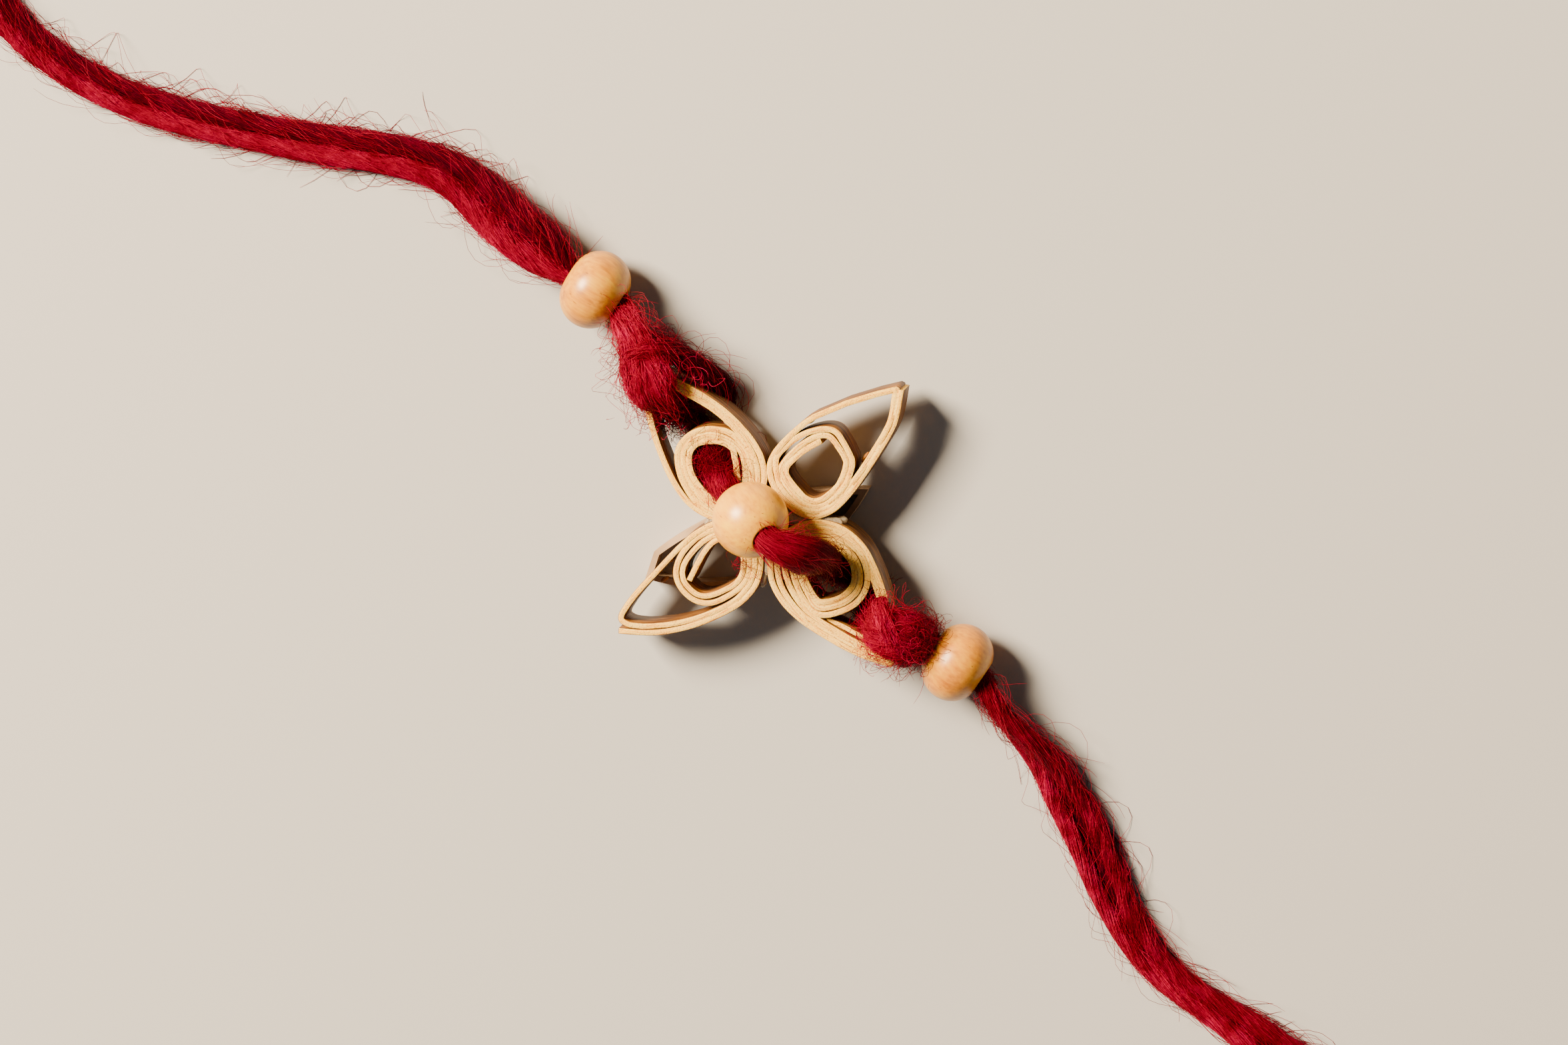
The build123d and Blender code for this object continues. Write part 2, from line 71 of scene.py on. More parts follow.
# Free ends of the yarn
# Four single strands of soft, carded red wool, hardly spun, so that the fibres lie along the strand
# and stray ones curl out of it. They leave the side beads in pairs and end bare.
# height of a strand's middle where it lies on the floor
LIE = 0.85
FREE_ENDS = {
    "yarn_left_a": [
        (-28.3, 2.85, 4.0), (-30.2, 3.4, 4.0), (-33.0, 3.65, 3.8), (-36.0, 3.05, 3.2),
        (-39.2, 2.65, 2.0), (-42.4, 2.0, 1.2), (-45.6, 0.9, LIE), (-48.8, -0.8, LIE),
        (-52.4, -3.5, LIE), (-56.5, -6.7, LIE), (-61.1, -10.2, LIE), (-66.1, -13.6, LIE),
        (-71.5, -16.9, LIE), (-77.2, -19.3, LIE), (-83.2, -20.7, LIE), (-89.0, -20.5, LIE),
        (-94.2, -18.9, LIE)],
    "yarn_left_b": [
        (-28.3, 2.35, 4.0), (-30.2, 1.3, 4.0), (-32.6, 0.6, 3.8), (-35.6, -0.1, 3.2),
        (-38.8, -0.5, 2.0), (-42.0, -0.5, 1.2), (-45.1, -1.2, LIE), (-48.4, -3.1, LIE),
        (-52.3, -6.1, LIE), (-56.8, -9.6, LIE), (-61.9, -13.0, LIE), (-67.5, -16.8, LIE),
        (-73.6, -19.9, LIE), (-79.8, -21.8, LIE), (-86.0, -22.5, LIE), (-91.6, -22.0, LIE),
        (-96.4, -20.7, LIE)],
    "yarn_right_a": [
        (28.3, 3.8, 4.5), (30.6, 3.3, 4.8), (33.2, 2.9, 4.7), (35.8, 3.0, 4.0), (38.7, 3.1, 2.9),
        (41.6, 2.6, 1.8), (44.7, 1.9, 1.05), (48.0, 1.0, LIE), (51.4, -0.6, LIE),
        (55.3, -2.3, LIE), (59.4, -3.5, LIE), (63.6, -3.6, LIE), (67.9, -2.6, LIE),
        (72.4, -1.2, LIE), (76.8, -0.4, LIE), (81.0, 0.8, LIE)],
    "yarn_right_b": [
        (28.3, 3.7, 3.6), (30.5, 3.0, 3.3), (33.0, 2.6, 3.0), (35.7, 1.9, 2.1), (38.5, 1.3, 1.15),
        (41.3, 0.2, LIE), (44.2, -0.9, LIE), (47.6, -1.9, LIE), (51.4, -3.5, LIE),
        (55.6, -4.7, LIE), (60.0, -5.5, LIE), (64.4, -5.2, LIE), (68.8, -4.2, LIE),
        (73.2, -3.7, LIE), (77.6, -2.9, LIE)],
}
# how wide and thick a strand is at a distance along it: squeezed in the bead's mouth, then fluffed
FREE_WIDTH = {
    "yarn_left": [
        (0, 1.3, 2.3), (1.5, 1.8, 2.4), (4, 2.45, 2.4), (10, 2.5, 2.2), (17, 2.2, 2.0),
        (26, 1.9, 1.8), (36, 1.75, 1.7), (80, 1.8, 1.7)],
    "yarn_right": [(0, 1.8, 1.3), (2, 1.8, 1.7), (10, 1.8, 1.8), (20, 1.7, 1.8), (80, 1.65, 1.7)],
}


def linear(code):
    """An sRGB hex colour as the linear colour that a shader socket takes."""
    shares = [int(code[i:i + 2], 16) / 255 for i in (1, 3, 5)]
    return [s / 12.92 if s <= 0.04045 else ((s + 0.055) / 1.055) ** 2.4 for s in shares] + [1.0]


def add_node(material, kind, inputs=(), **settings):
    """Adds a node with its settings; an input holds a value or the socket that feeds it."""
    made = material.node_tree.nodes.new(kind)
    for name, value in settings.items():
        setattr(made, name, value)
    for name, value in dict(inputs).items():
        if isinstance(value, bpy.types.NodeSocket):
            material.node_tree.links.new(value, made.inputs[name])
        else:
            made.inputs[name].default_value = value
    return made


def add_noise(material, vector, scale, detail=4.0, rough=0.6):
    """The grey value of a noise texture."""
    return add_node(material, "ShaderNodeTexNoise", {
        "Vector": vector, "Scale": scale, "Detail": detail, "Roughness": rough}).outputs["Fac"]


def stretched(material, vector, scale):
    """A texture's place, scaled by a different amount each way."""
    return add_node(material, "ShaderNodeMapping", {
        "Vector": vector, "Scale": scale}).outputs["Vector"]


def add_ramp(material, grey, *stops):
    """The colour of a grey value, on a ramp of places and colours."""
    made = add_node(material, "ShaderNodeValToRGB", {"Fac": grey})
    for i, (place, code) in enumerate(stops):
        stop = made.color_ramp.elements[i] if i < 2 else made.color_ramp.elements.new(place)
        stop.position = place
        stop.color = linear(code)
    return made.outputs["Color"]


def add_bump(material, grey, strength, height):
    """The normal of a surface that a grey value raises by a height in mm."""
    return add_node(material, "ShaderNodeBump", {
        "Strength": strength, "Distance": height * MM, "Height": grey}).outputs["Normal"]


def new_material(name):
    """A material with nothing in it."""
    material = bpy.data.materials.new(name)
    material.use_nodes = True
    material.node_tree.nodes.clear()
    return material


def end_material(material, inputs):
    """Ends a material with its shader, joined to the output."""
    shader = add_node(material, "ShaderNodeBsdfPrincipled", inputs)
    out = add_node(material, "ShaderNodeOutputMaterial")
    material.node_tree.links.new(shader.outputs["BSDF"], out.inputs["Surface"])
    return material


# sizes of the wool's speckle, and the tint of its gloss
CLUMP = 2.2 * MM
SINGLE_FIBRE = 0.22 * MM
GLINT = linear("#FF2048")


def carded_wool(name, deep, mid, bright, gloss=0.4):
    """Dyed wool: matt and saturated, with a red sheen, clumps of fibres lighter and darker."""
    material = new_material(name)
    where = add_node(material, "ShaderNodeTexCoord").outputs
    clumps = add_noise(material, where["Object"], 1 / CLUMP, 3.0)
    single = add_noise(material, where["Object"], 1 / SINGLE_FIBRE, 2.0, 0.5)
    both = add_node(material, "ShaderNodeMix", {"Factor": 0.4, "A": clumps, "B": single})
    colour = add_ramp(material, both.outputs["Result"], (0.36, deep), (0.50, mid), (0.66, bright))
    return end_material(material, {
        "Base Color": colour, "Roughness": 0.55, "Specular IOR Level": gloss,
        "Specular Tint": GLINT, "Sheen Weight": 0.10, "Sheen Roughness": 0.4,
        "Sheen Tint": linear("#F00030")})


def packed_wool(name, deep, mid, bright):
    """The same wool where it is packed: streaks and ridges that follow the lay of the fibres."""
    material = new_material(name)
    lay = add_node(material, "ShaderNodeAttribute", attribute_name="lay")
    streak = add_noise(material, lay.outputs["Vector"], 1.0, 4.0, 0.65)
    return end_material(material, {
        "Base Color": add_ramp(material, streak, (0.34, deep), (0.50, mid), (0.68, bright)),
        "Roughness": 0.8, "Specular IOR Level": 0.1, "Specular Tint": GLINT,
        "Normal": add_bump(material, streak, 0.9, 0.12)})


wool_body = packed_wool("packed red wool", "#3C000A", "#600016", "#840026")
wool_fibre = carded_wool("carded red wool, fibres", "#54000E", "#780020", "#A00038")
# painted light: a lighter copy of the wool, for yarn that the light falls on full
lit_fibre = carded_wool("carded red wool, painted light", "#6C0014", "#98002C", "#C4004C", 0.5)
# painted shade: a darker copy of the wool, for yarn that lies half in shade
half_shaded_fibre = carded_wool("carded red wool, painted half shade", "#46000A", "#660018", "#8C002E")
# painted shade: a much darker copy of the wool, for yarn that lies in shade and for the fill in
# gaps and hollows
shade_body = packed_wool("packed red wool, painted shade", "#160003", "#28000A", "#400012")
shade_fibre = carded_wool("red wool fibres, painted shade", "#2A0006", "#420010", "#64001E")
# single hairs that stand clear of the yarn let light through
stray_fibre = carded_wool("carded red wool, stray hairs", "#54000C", "#7A001A", "#A0002E")

Station = namedtuple("Station", "along centre side lift wide thick")
# least heights above the floor, and how much of its girth a yarn's packed inside fills
CORE_CLEAR = 0.02 * MM
FIBRE_CLEAR = 0.06 * MM
CORE_SHARE = 0.93
CORE_CORNERS = 16
# a core's lumps: how broad and how deep, and how fast its streaks change along and round it
LUMP_SIZE = 2.2 * MM
LUMP_DEPTH = 0.08 * MM
LAY_ALONG = 0.4
LAY_ROUND = 16
# a hair's width, how much stouter the loose ones are, and the places that each is drawn through
HAIR = 0.036 * MM
STRAY_STOUT = 1.35
TANGLE_STOUT = 1.2
LYING_SPOTS = 5
LOOSE_SPOTS = 9
# from this share of its yarn's reach on, a stray hair counts as standing clear
CLEAR_FROM = 0.4


def new_curve(name, resolution):
    """A curve in space with no spline in it."""
    curve = bpy.data.curves.new(name, "CURVE")
    curve.dimensions = "3D"
    curve.resolution_u = resolution
    return curve


def read_line(curve):
    """The places along a curve, read back from its own mesh; the curve is removed."""
    holder = bpy.data.objects.new("line", curve)
    mesh = bpy.data.meshes.new_from_object(holder)
    line = [vertex.co.copy() for vertex in mesh.vertices]
    bpy.data.objects.remove(holder)
    bpy.data.curves.remove(curve)
    bpy.data.meshes.remove(mesh)
    return line


def smooth_line(points, origin=Vector()):
    """Places along the NURBS spline that points in mm control."""
    curve = new_curve("line", 8)
    spline = curve.splines.new("NURBS")
    spline.points.add(len(points) - 1)
    for spot, point in zip(spline.points, points):
        spot.co = (*(origin + Vector(point)) * MM, 1)
    spline.order_u = 3
    spline.use_endpoint_u = True
    return read_line(curve)


def line_through(points, resolution, origin):
    """Places along the smooth line that passes through points in mm."""
    curve = new_curve("line", resolution)
    spline = curve.splines.new("BEZIER")
    spline.bezier_points.add(len(points) - 1)
    for spot, point in zip(spline.bezier_points, points):
        spot.co = (origin + Vector(point)) * MM
        spot.handle_left_type = spot.handle_right_type = "AUTO"
    return read_line(curve)


def between(a, b, share):
    """A width and thickness a share of the way from one pair to the next, from mm to metres."""
    return [(low + (high - low) * share) * MM for low, high in zip(a, b)]


def stations(line, girths, sides=None):
    """The yarn's places along a line: distance, level side, upper side, width and thickness."""
    found = []
    along = 0.0
    for i, (centre, (wide, thick)) in enumerate(zip(line, girths)):
        if i:
            along += (centre - line[i - 1]).length
        run = (line[min(i + 1, len(line) - 1)] - line[max(i - 1, 0)]).normalized()
        side = sides[i] if sides else Vector((0, 0, 1)).cross(run)
        side = (side - run * side.dot(run)).normalized()
        found.append(Station(along, centre, side, run.cross(side), wide, thick))
    return found


def even_run(points, wide, thick, origin=Vector()):
    """Stations of a yarn that is equally wide and thick all along."""
    line = smooth_line(points, origin)
    return stations(line, [(wide * MM, thick * MM)] * len(line))


def place_on(run, along, angle, share):
    """A place round the yarn: a distance along it, an angle about it, a share of its radius."""
    along = min(max(along, 0.0), run[-1].along)
    low, high = 0, len(run) - 1
    while high - low > 1:
        middle = (low + high) // 2
        if run[middle].along <= along:
            low = middle
        else:
            high = middle
    a, b = run[low], run[high]
    mix = (along - a.along) / max(b.along - a.along, 1e-9)
    centre = a.centre.lerp(b.centre, mix)
    side = a.side.lerp(b.side, mix)
    lift = a.lift.lerp(b.lift, mix)
    wide = a.wide + (b.wide - a.wide) * mix
    thick = a.thick + (b.thick - a.thick) * mix
    return centre + (side * math.cos(angle) * wide + lift * math.sin(angle) * thick) * share / 2


def mesh_from(shape, name, *finishes):
    """A bmesh as a smooth mesh with its finishes; the bmesh is freed."""
    for face in shape.faces:
        face.smooth = True
    mesh = bpy.data.meshes.new(name)
    shape.to_mesh(mesh)
    shape.free()
    for finish in finishes:
        mesh.materials.append(finish)
    return mesh


def mesh_now(piece):
    """The mesh that a piece has with its modifiers or its bevel in force."""
    seen = piece.evaluated_get(bpy.context.evaluated_depsgraph_get())
    return bpy.data.meshes.new_from_object(seen)


def add_object(name, data):
    """An object at the origin, in the scene."""
    made = bpy.data.objects.new(name, data)
    bpy.context.scene.collection.objects.link(made)
    return made


def yarn_core(name, run, replaced=(), finish=wool_body, share=CORE_SHARE):
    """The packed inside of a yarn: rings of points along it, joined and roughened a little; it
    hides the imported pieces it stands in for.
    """
    shape = bmesh.new()
    lay = shape.verts.layers.float_vector.new("lay")
    rings = []
    for station in run:
        ring = bmesh.ops.create_circle(shape, segments=CORE_CORNERS, radius=0.5 * share)["verts"]
        for vertex in ring:
            vertex[lay] = (station.along / MM * LAY_ALONG, vertex.co.x / share * LAY_ROUND,
                           vertex.co.y / share * LAY_ROUND)
        out = station.side.cross(station.lift)
        place = Matrix((station.side * station.wide, station.lift * station.thick, out))
        place = place.transposed().to_4x4()
        place.translation = station.centre
        bmesh.ops.transform(shape, matrix=place, verts=ring)
        rings.append(ring)
    for pair in zip(rings, rings[1:]):
        edges = {e for ring in pair for v in ring for e in v.link_edges if e.other_vert(v) in ring}
        bmesh.ops.bridge_loops(shape, edges=list(edges))
    for ring in (rings[0], rings[-1]):
        bmesh.ops.contextual_create(shape, geom=ring)
    for vertex in shape.verts:
        vertex.co += noise.noise_vector(vertex.co / LUMP_SIZE) * LUMP_DEPTH
        vertex.co.z = max(vertex.co.z, CORE_CLEAR)
    bmesh.ops.recalc_face_normals(shape, faces=shape.faces)
    piece = add_object(name, mesh_from(shape, name, finish))
    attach(piece, "root")
    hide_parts(*replaced)
    return piece


def hair_section():
    """The section of one hair, three-sided so that thousands of them stay light."""
    outline = new_curve("hair outline", 1)
    spline = outline.splines.new("POLY")
    spline.points.add(2)
    spline.use_cyclic_u = True
    for spot, turned in zip(spline.points, (0, -120, -240)):
        angle = math.radians(turned)
        spot.co = (math.cos(angle) * HAIR / 2, math.sin(angle) * HAIR / 2, 0, 1)
    return add_object("hair outline", outline)


hair_shape = hair_section()


def fibre(curve, spots, stout=1.0, finish=0):
    """One fibre through some places, thinner at its ends."""
    spline = curve.splines.new("POLY")
    spline.material_index = finish
    spline.points.add(len(spots) - 1)
    for point, spot in zip(spline.points, spots):
        point.co = (*spot, 1)
        point.radius = stout
    spline.points[0].radius = spline.points[-1].radius = 0.5 * stout


def tangle_fibre(curve, dice, middle, spread):
    """One loose fibre that winds about a middle, drawn back to it."""
    spot = Vector([dice.gauss(m, s * 0.5) for m, s in zip(middle, spread)]) * MM
    heading = Vector((dice.gauss(0, 1), dice.gauss(0, 1), dice.gauss(0, 0.6))).normalized()
    axis = Vector((dice.gauss(0, 1), dice.gauss(0, 1), dice.gauss(0, 1))).normalized()
    bend = Matrix.Rotation(dice.uniform(0.1, 0.75), 3, axis)
    stride = dice.uniform(0.2, 0.55) * MM
    spots = []
    for _ in range(LOOSE_SPOTS):
        spots.append(Vector((spot.x, spot.y, max(spot.z, FIBRE_CLEAR))))
        inwards = (Vector(middle) * MM - spot) / (max(spread) * MM)
        heading = (bend @ heading + inwards * 0.25).normalized()
        spot = spot + heading * stride
    fibre(curve, spots, TANGLE_STOUT)


def yarn_fibres(name, run, seed, count, length, stray, reach, turn=0.25, groove=0.0, tangles=(),
                finish=wool_fibre):
    """The fibres of a yarn: most lie along it, a share stray and curl out, some tangle up."""
    dice = random.Random(seed)
    curve = new_curve(name, 1)
    curve.bevel_mode = "OBJECT"
    curve.bevel_object = hair_shape
    curve.materials.append(finish)
    curve.materials.append(stray_fibre)
    for number in range(count):
        long = dice.uniform(*length) * MM
        start = dice.uniform(-0.5 * long, run[-1].along - 0.5 * long)
        angle = dice.uniform(0, 2 * math.pi)
        loose = dice.random() < stray
        share = dice.uniform(0.86, 1.01)
        bow = dice.uniform(0.0, 0.05)
        swing = dice.gauss(0, 0.16)
        out_way = Vector((dice.gauss(0, 1), dice.gauss(0, 1), dice.gauss(0.1, 0.7)))
        curl = dice.uniform(1.5, 5.0)
        phase = dice.uniform(0, 6.3)
        far = (0.12 + 0.88 * dice.random() ** 2.2) * reach * MM
        amount = LOOSE_SPOTS if loose else LYING_SPOTS
        spots = []
        for step in range(amount):
            t = step / (amount - 1)
            here = start + long * t
            round_it = angle + turn * long * t / MM + swing * math.sin(3 * t + phase)
            radius = share + bow * math.sin(math.pi * t)
            radius *= 1 - groove * math.exp(-((math.cos(round_it)) / 0.35) ** 2)
            spot = place_on(run, here, round_it, radius)
            if loose:
                # half of the loose ones lift at one end, the others stand out in a bow
                away = far * (t ** 1.6 if number % 2 else math.sin(math.pi * t) * 0.8)
                outwards = spot - place_on(run, here, round_it, 0)
                outwards = outwards.normalized() if outwards.length > 1e-9 else out_way
                coil = Vector((math.sin(curl * t + phase), math.cos(curl * t + phase), 0))
                spot += (outwards * 0.8 + out_way * 0.35) * away
                spot += coil * away * 0.45
            spot.z = max(spot.z, FIBRE_CLEAR)
            spots.append(spot)
        clear = loose and far > CLEAR_FROM * reach * MM
        fibre(curve, spots, STRAY_STOUT if loose else 1.0, int(clear))
    for middle, spread, amount in tangles:
        for _ in range(amount):
            tangle_fibre(curve, dice, middle, spread)
    holder = add_object(name, curve)
    mesh = mesh_now(holder)
    bpy.data.objects.remove(holder)
    bpy.data.curves.remove(curve)
    mesh.name = name
    for face in mesh.polygons:
        face.use_smooth = True
    piece = add_object(name, mesh)
    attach(piece, "root")
    return piece


Strand = namedtuple("Strand", "length count stray reach body fibre")
# the upper left strand takes the painted shade copy of the wool, the right pair the painted half
# shade and painted light copies
STRANDS = {
    "yarn_left_a": Strand(73.0, 3000, 0.36, 3.2, shade_body, shade_fibre),
    "yarn_left_b": Strand(75.2, 3000, 0.18, 2.8, wool_body, wool_fibre),
    "yarn_right_a": Strand(54.9, 2500, 0.32, 2.6, wool_body, half_shaded_fibre),
    "yarn_right_b": Strand(51.1, 2400, 0.12, 2.0, wool_body, lit_fibre),
}
# least and greatest length of a fibre, on the free ends and on the yarn that is held
LONG_FIBRES = (3.5, 9.0)
HELD_FIBRES = (2.0, 5.0)
for number, (name, strand) in enumerate(STRANDS.items()):
    line = smooth_line(FREE_ENDS[name])
    table = FREE_WIDTH[name[:-2]]
    girths, along = [], 0.0
    for i, spot in enumerate(line):
        along += (spot - line[i - 1]).length / MM if i else 0.0
        a, b = next(pair for pair in zip(table, table[1:]) if pair[0][0] <= along <= pair[1][0])
        girths.append(between(a[1:], b[1:], (along - a[0]) / (b[0] - a[0])))
    run = stations(line, girths)
    core = yarn_core(name, run, [name], strand.body)
    fibres = yarn_fibres(name + "_fibres", run, seed=11 + number, count=strand.count,
                         length=LONG_FIBRES, stray=strand.stray, reach=strand.reach,
                         finish=strand.fibre)

# painted shade: a dark fill of wool low down in the gap between the two strands of a pair, below
# their middles
SHADE_FILL_DROP = Vector((0, 0, 0.45))
for number, side in enumerate(("yarn_left", "yarn_right")):
    gap = [(Vector(a) + Vector(b)) / 2 - SHADE_FILL_DROP
           for a, b in zip(FREE_ENDS[side + "_a"], FREE_ENDS[side + "_b"])]
    run = even_run(gap, 1.2, 0.7)
    yarn_core(side + "_between", run, finish=shade_body, share=0.85)
    yarn_fibres(side + "_between_fibres", run, seed=61 + number, count=500, length=LONG_FIBRES,
                stray=0, reach=0, finish=shade_fibre)


# Yarn that the flower holds
# The same wool doubled: a neck squeezed through each side bead, a hitch over a petal's tip and down
# through the leaf, one strand outside the left petal, and the arch that carries the middle bead.
FLOWER = Vector((2.55, -0.0887, 0))
# a place from the flower's middle, the yarn's width and thickness there and the way it heads
Section = namedtuple("Section", "x y z wide thick bearing")
ARCH_START = Section(-13.2, 0.9, 1.25, 2.3, 2.3, 0)
ARCH_END = Section(12.2, 0.9, 1.25, 2.3, 2.3, 0)
WRAP_LEFT = [
    Section(-25.4, 4.05, 4.0, 2.4, 2.4, 8), Section(-24.2, 3.8, 5.1, 3.1, 2.7, -5),
    Section(-22.4, 3.6, 6.7, 3.2, 2.8, -18), Section(-20.8, 3.1, 7.6, 3.9, 2.5, -26),
    Section(-18.9, 2.2, 8.1, 4.9, 2.4, -30), Section(-17.4, 1.6, 8.1, 5.1, 2.2, -30),
    Section(-16.4, 1.1, 7.6, 4.3, 2.0, -22), Section(-15.7, 1.0, 6.6, 2.8, 1.9, -12),
    Section(-15.2, 0.95, 5.0, 2.5, 1.9, -5), Section(-15.0, 0.9, 3.4, 2.4, 1.9, 0),
    Section(-14.3, 0.9, 1.9, 2.3, 2.0, 0),
    ARCH_START]
WRAP_RIGHT = [
    Section(19.697, 2.631, 4.0, 2.4, 2.4, -168), Section(19.3, 2.6, 4.8, 4.0, 2.6, -160),
    Section(18.9, 2.7, 6.2, 4.6, 3.0, -152), Section(17.9, 2.5, 7.5, 5.0, 2.7, -146),
    Section(16.3, 1.5, 8.0, 5.0, 2.3, -140), Section(15.2, 0.8, 7.6, 4.2, 2.1, -142),
    Section(14.4, 0.4, 6.3, 2.8, 1.9, -146), Section(14.0, 0.4, 5.0, 2.5, 1.9, -150),
    Section(13.9, 0.5, 3.4, 2.3, 1.9, 180), Section(13.3, 0.7, 1.95, 2.3, 2.0, 180),
    ARCH_END._replace(bearing=180)]
MIDDLE = Vector((1.35, -0.0887, 10.6))
MIDDLE_BORE = Vector((0.7202, 0.1270, 0.6820))
SQUEEZED = 2.6
ARCH = [
    ARCH_START,
    Section(-10.9, 0.5, 1.35, 2.3, 1.9, -8), Section(-9.0, 0.2, 2.05, 3.0, 2.0, -6),
    Section(-7.7, 0.0, 3.9, 3.7, 2.7, -6), Section(-6.1, -0.4, 6.2, 3.1, 2.2, 0),
    *[Section(*(MIDDLE + MIDDLE_BORE * depth - FLOWER), SQUEEZED, SQUEEZED, 10)
      for depth in (-3.7, -1.85, 0, 1.85, 3.7)],
    Section(3.1, 1.1, 13.3, 3.4, 2.2, 18), Section(4.9, 1.8, 12.0, 4.1, 2.5, 12),
    Section(6.1, 1.9, 9.8, 4.0, 2.5, 0), Section(6.9, 1.5, 7.2, 3.4, 2.3, -15),
    Section(7.7, 1.1, 4.5, 2.8, 2.2, -15), Section(8.8, 0.9, 2.4, 2.4, 2.0, -8),
    Section(10.3, 0.85, 1.35, 2.3, 1.9, 0),
    ARCH_END]
# the turn of each hitch that crosses over it
TURNS = {
    "left": [
        (-20.6, 1.2, 7.2), (-20.8, 2.0, 8.3), (-20.5, 3.2, 8.8), (-19.8, 4.2, 8.6),
        (-18.8, 4.9, 7.8), (-17.8, 4.8, 6.4)],
    "right": [
        (13.3, 2.8, 7.2), (14.2, 2.5, 8.9), (15.6, 1.9, 9.3), (17.0, 1.35, 8.9), (18.6, 0.5, 7.7),
        (19.6, 0.1, 6.2)],
}
BEHIND = [
    (-21.0, 3.9, 6.6), (-19.2, 5.0, 6.0), (-16.6, 5.4, 5.2), (-14.2, 5.6, 3.8), (-12.6, 5.3, 2.1),
    (-11.6, 4.4, 1.2), (-11.4, 3.0, 1.15),
]
NECKS = {
    "left": [
        ((-22.274, 4.117, 4.0), 2.4, 2.4), ((-25.67, 3.27, 4.0), 2.4, 2.4),
        ((-28.484, 2.568, 4.0), 2.4, 2.4), ((-29.6, 2.35, 4.0), 3.4, 2.2)],
    "right": [
        ((22.247, 2.542, 4.0), 2.4, 2.4), ((25.67, 3.27, 4.0), 2.4, 2.4),
        ((28.507, 3.873, 4.0), 2.4, 2.4), ((29.7, 3.6, 4.05), 2.1, 2.6)],
}
NECK_STEPS = 4
# no fibre is seen on a neck's first length, at the flower's end of the bore
NECK_HIDDEN = 5 * MM
# loose fibres that fill the leaves' hollows and the eyes, or cross the wood: middle, spread, number
LOOSE = {
    "yarn_wrap_left": [
        ((-12.4, 0.8, 2.6), (2.4, 1.8, 1.2), 330), ((-13.8, 1.8, 4.6), (2.2, 1.4, 1.6), 260),
        ((-13.5, -1.8, 6.9), (2.2, 1.6, 0.8), 26), ((-13.5, 5.0, 6.6), (2.5, 1.6, 0.8), 30)],
    "yarn_wrap_right": [
        ((16.8, 0.4, 3.4), (2.4, 1.5, 1.5), 330), ((20.6, 2.6, 8.2), (2.2, 1.8, 1.0), 110),
        ((15.6, 2.6, 7.0), (1.4, 1.2, 0.5), 22), ((18.6, -1.6, 6.9), (2.0, 1.2, 0.5), 22)],
    "yarn_arch": [
        ((-5.2, 0.3, 5.4), (2.6, 1.9, 1.2), 420), ((10.2, 1.2, 4.0), (2.0, 1.8, 1.8), 300),
        ((9.0, 0.6, 7.4), (2.4, 1.8, 0.7), 60), ((4.3, -4.0, 6.9), (1.6, 0.9, 0.3), 16),
        ((-3.4, 1.6, 6.9), (1.4, 1.2, 0.3), 22), ((3.6, -4.6, 6.9), (1.2, 0.9, 0.3), 12)],
}
# painted shade: dark tangles in the shade copy of the wool that fill an eye and lie beside the
# hitches
TANGLES = [
    ((-5.4, 0.2, 5.3), (2.6, 1.9, 0.9), 240), ((21.0, 2.8, 7.0), (2.3, 2.3, 1.6), 420),
    ((-17.2, 4.9, 6.6), (1.8, 1.4, 1.2), 160), ((-12.0, 1.2, 3.4), (2.4, 1.6, 1.2), 160),
    ((-11.4, -0.3, 2.6), (1.9, 1.3, 1.6), 300),
]


def level_way(bearing):
    """The level direction that a bearing in degrees points in."""
    turned = math.radians(bearing)
    return Vector((math.cos(turned), math.sin(turned), 0))


def through_sections(rows):
    """Stations along a smooth line through sections, with their widths between."""
    line = line_through([row[:3] for row in rows], 6, FLOWER)
    girths, sides = [], []
    for i in range(len(line)):
        share = i * (len(rows) - 1) / (len(line) - 1)
        low = min(int(share), len(rows) - 2)
        a, b, mix = rows[low], rows[low + 1], share - low
        girths.append(between((a.wide, a.thick), (b.wide, b.thick), mix))
        swing = (b.bearing - a.bearing + 180) % 360 - 180
        sides.append(level_way(a.bearing + swing * mix + 90))
    return stations(line, girths, sides)


Held = namedtuple("Held", "rows count stray reach fibre")
# the left hitch takes the painted light copy of the wool, the arch the painted half shade copy
HELD = {
    "yarn_wrap_left": Held(WRAP_LEFT, 2900, 0.28, 2.8, lit_fibre),
    "yarn_wrap_right": Held(WRAP_RIGHT, 2500, 0.30, 2.4, wool_fibre),
    "yarn_arch": Held(ARCH, 3000, 0.30, 1.8, half_shaded_fibre),
}
for number, (name, held) in enumerate(HELD.items()):
    run = through_sections(held.rows)
    yarn_core(name, run, [name])
    yarn_fibres(name + "_fibres", run, seed=31 + number, count=held.count, length=HELD_FIBRES,
                stray=held.stray, reach=held.reach, turn=0.06, groove=0.08, tangles=LOOSE[name],
                finish=held.fibre)

yarn_fibres("yarn_tangles", through_sections(WRAP_RIGHT), seed=37, count=0, length=HELD_FIBRES,
            stray=0, reach=0, tangles=TANGLES, finish=shade_fibre)

# the right turn takes the painted light copy of the wool
for side, finish in (("left", wool_fibre), ("right", lit_fibre)):
    run = even_run(TURNS[side], 1.7, 1.0, FLOWER)
    yarn_core("yarn_turn_" + side, run, share=0.9)
    yarn_fibres("yarn_turn_" + side + "_fibres", run, seed=36, count=500, length=(1.5, 4.0),
                stray=0.3, reach=2.0, turn=0.1, finish=finish)

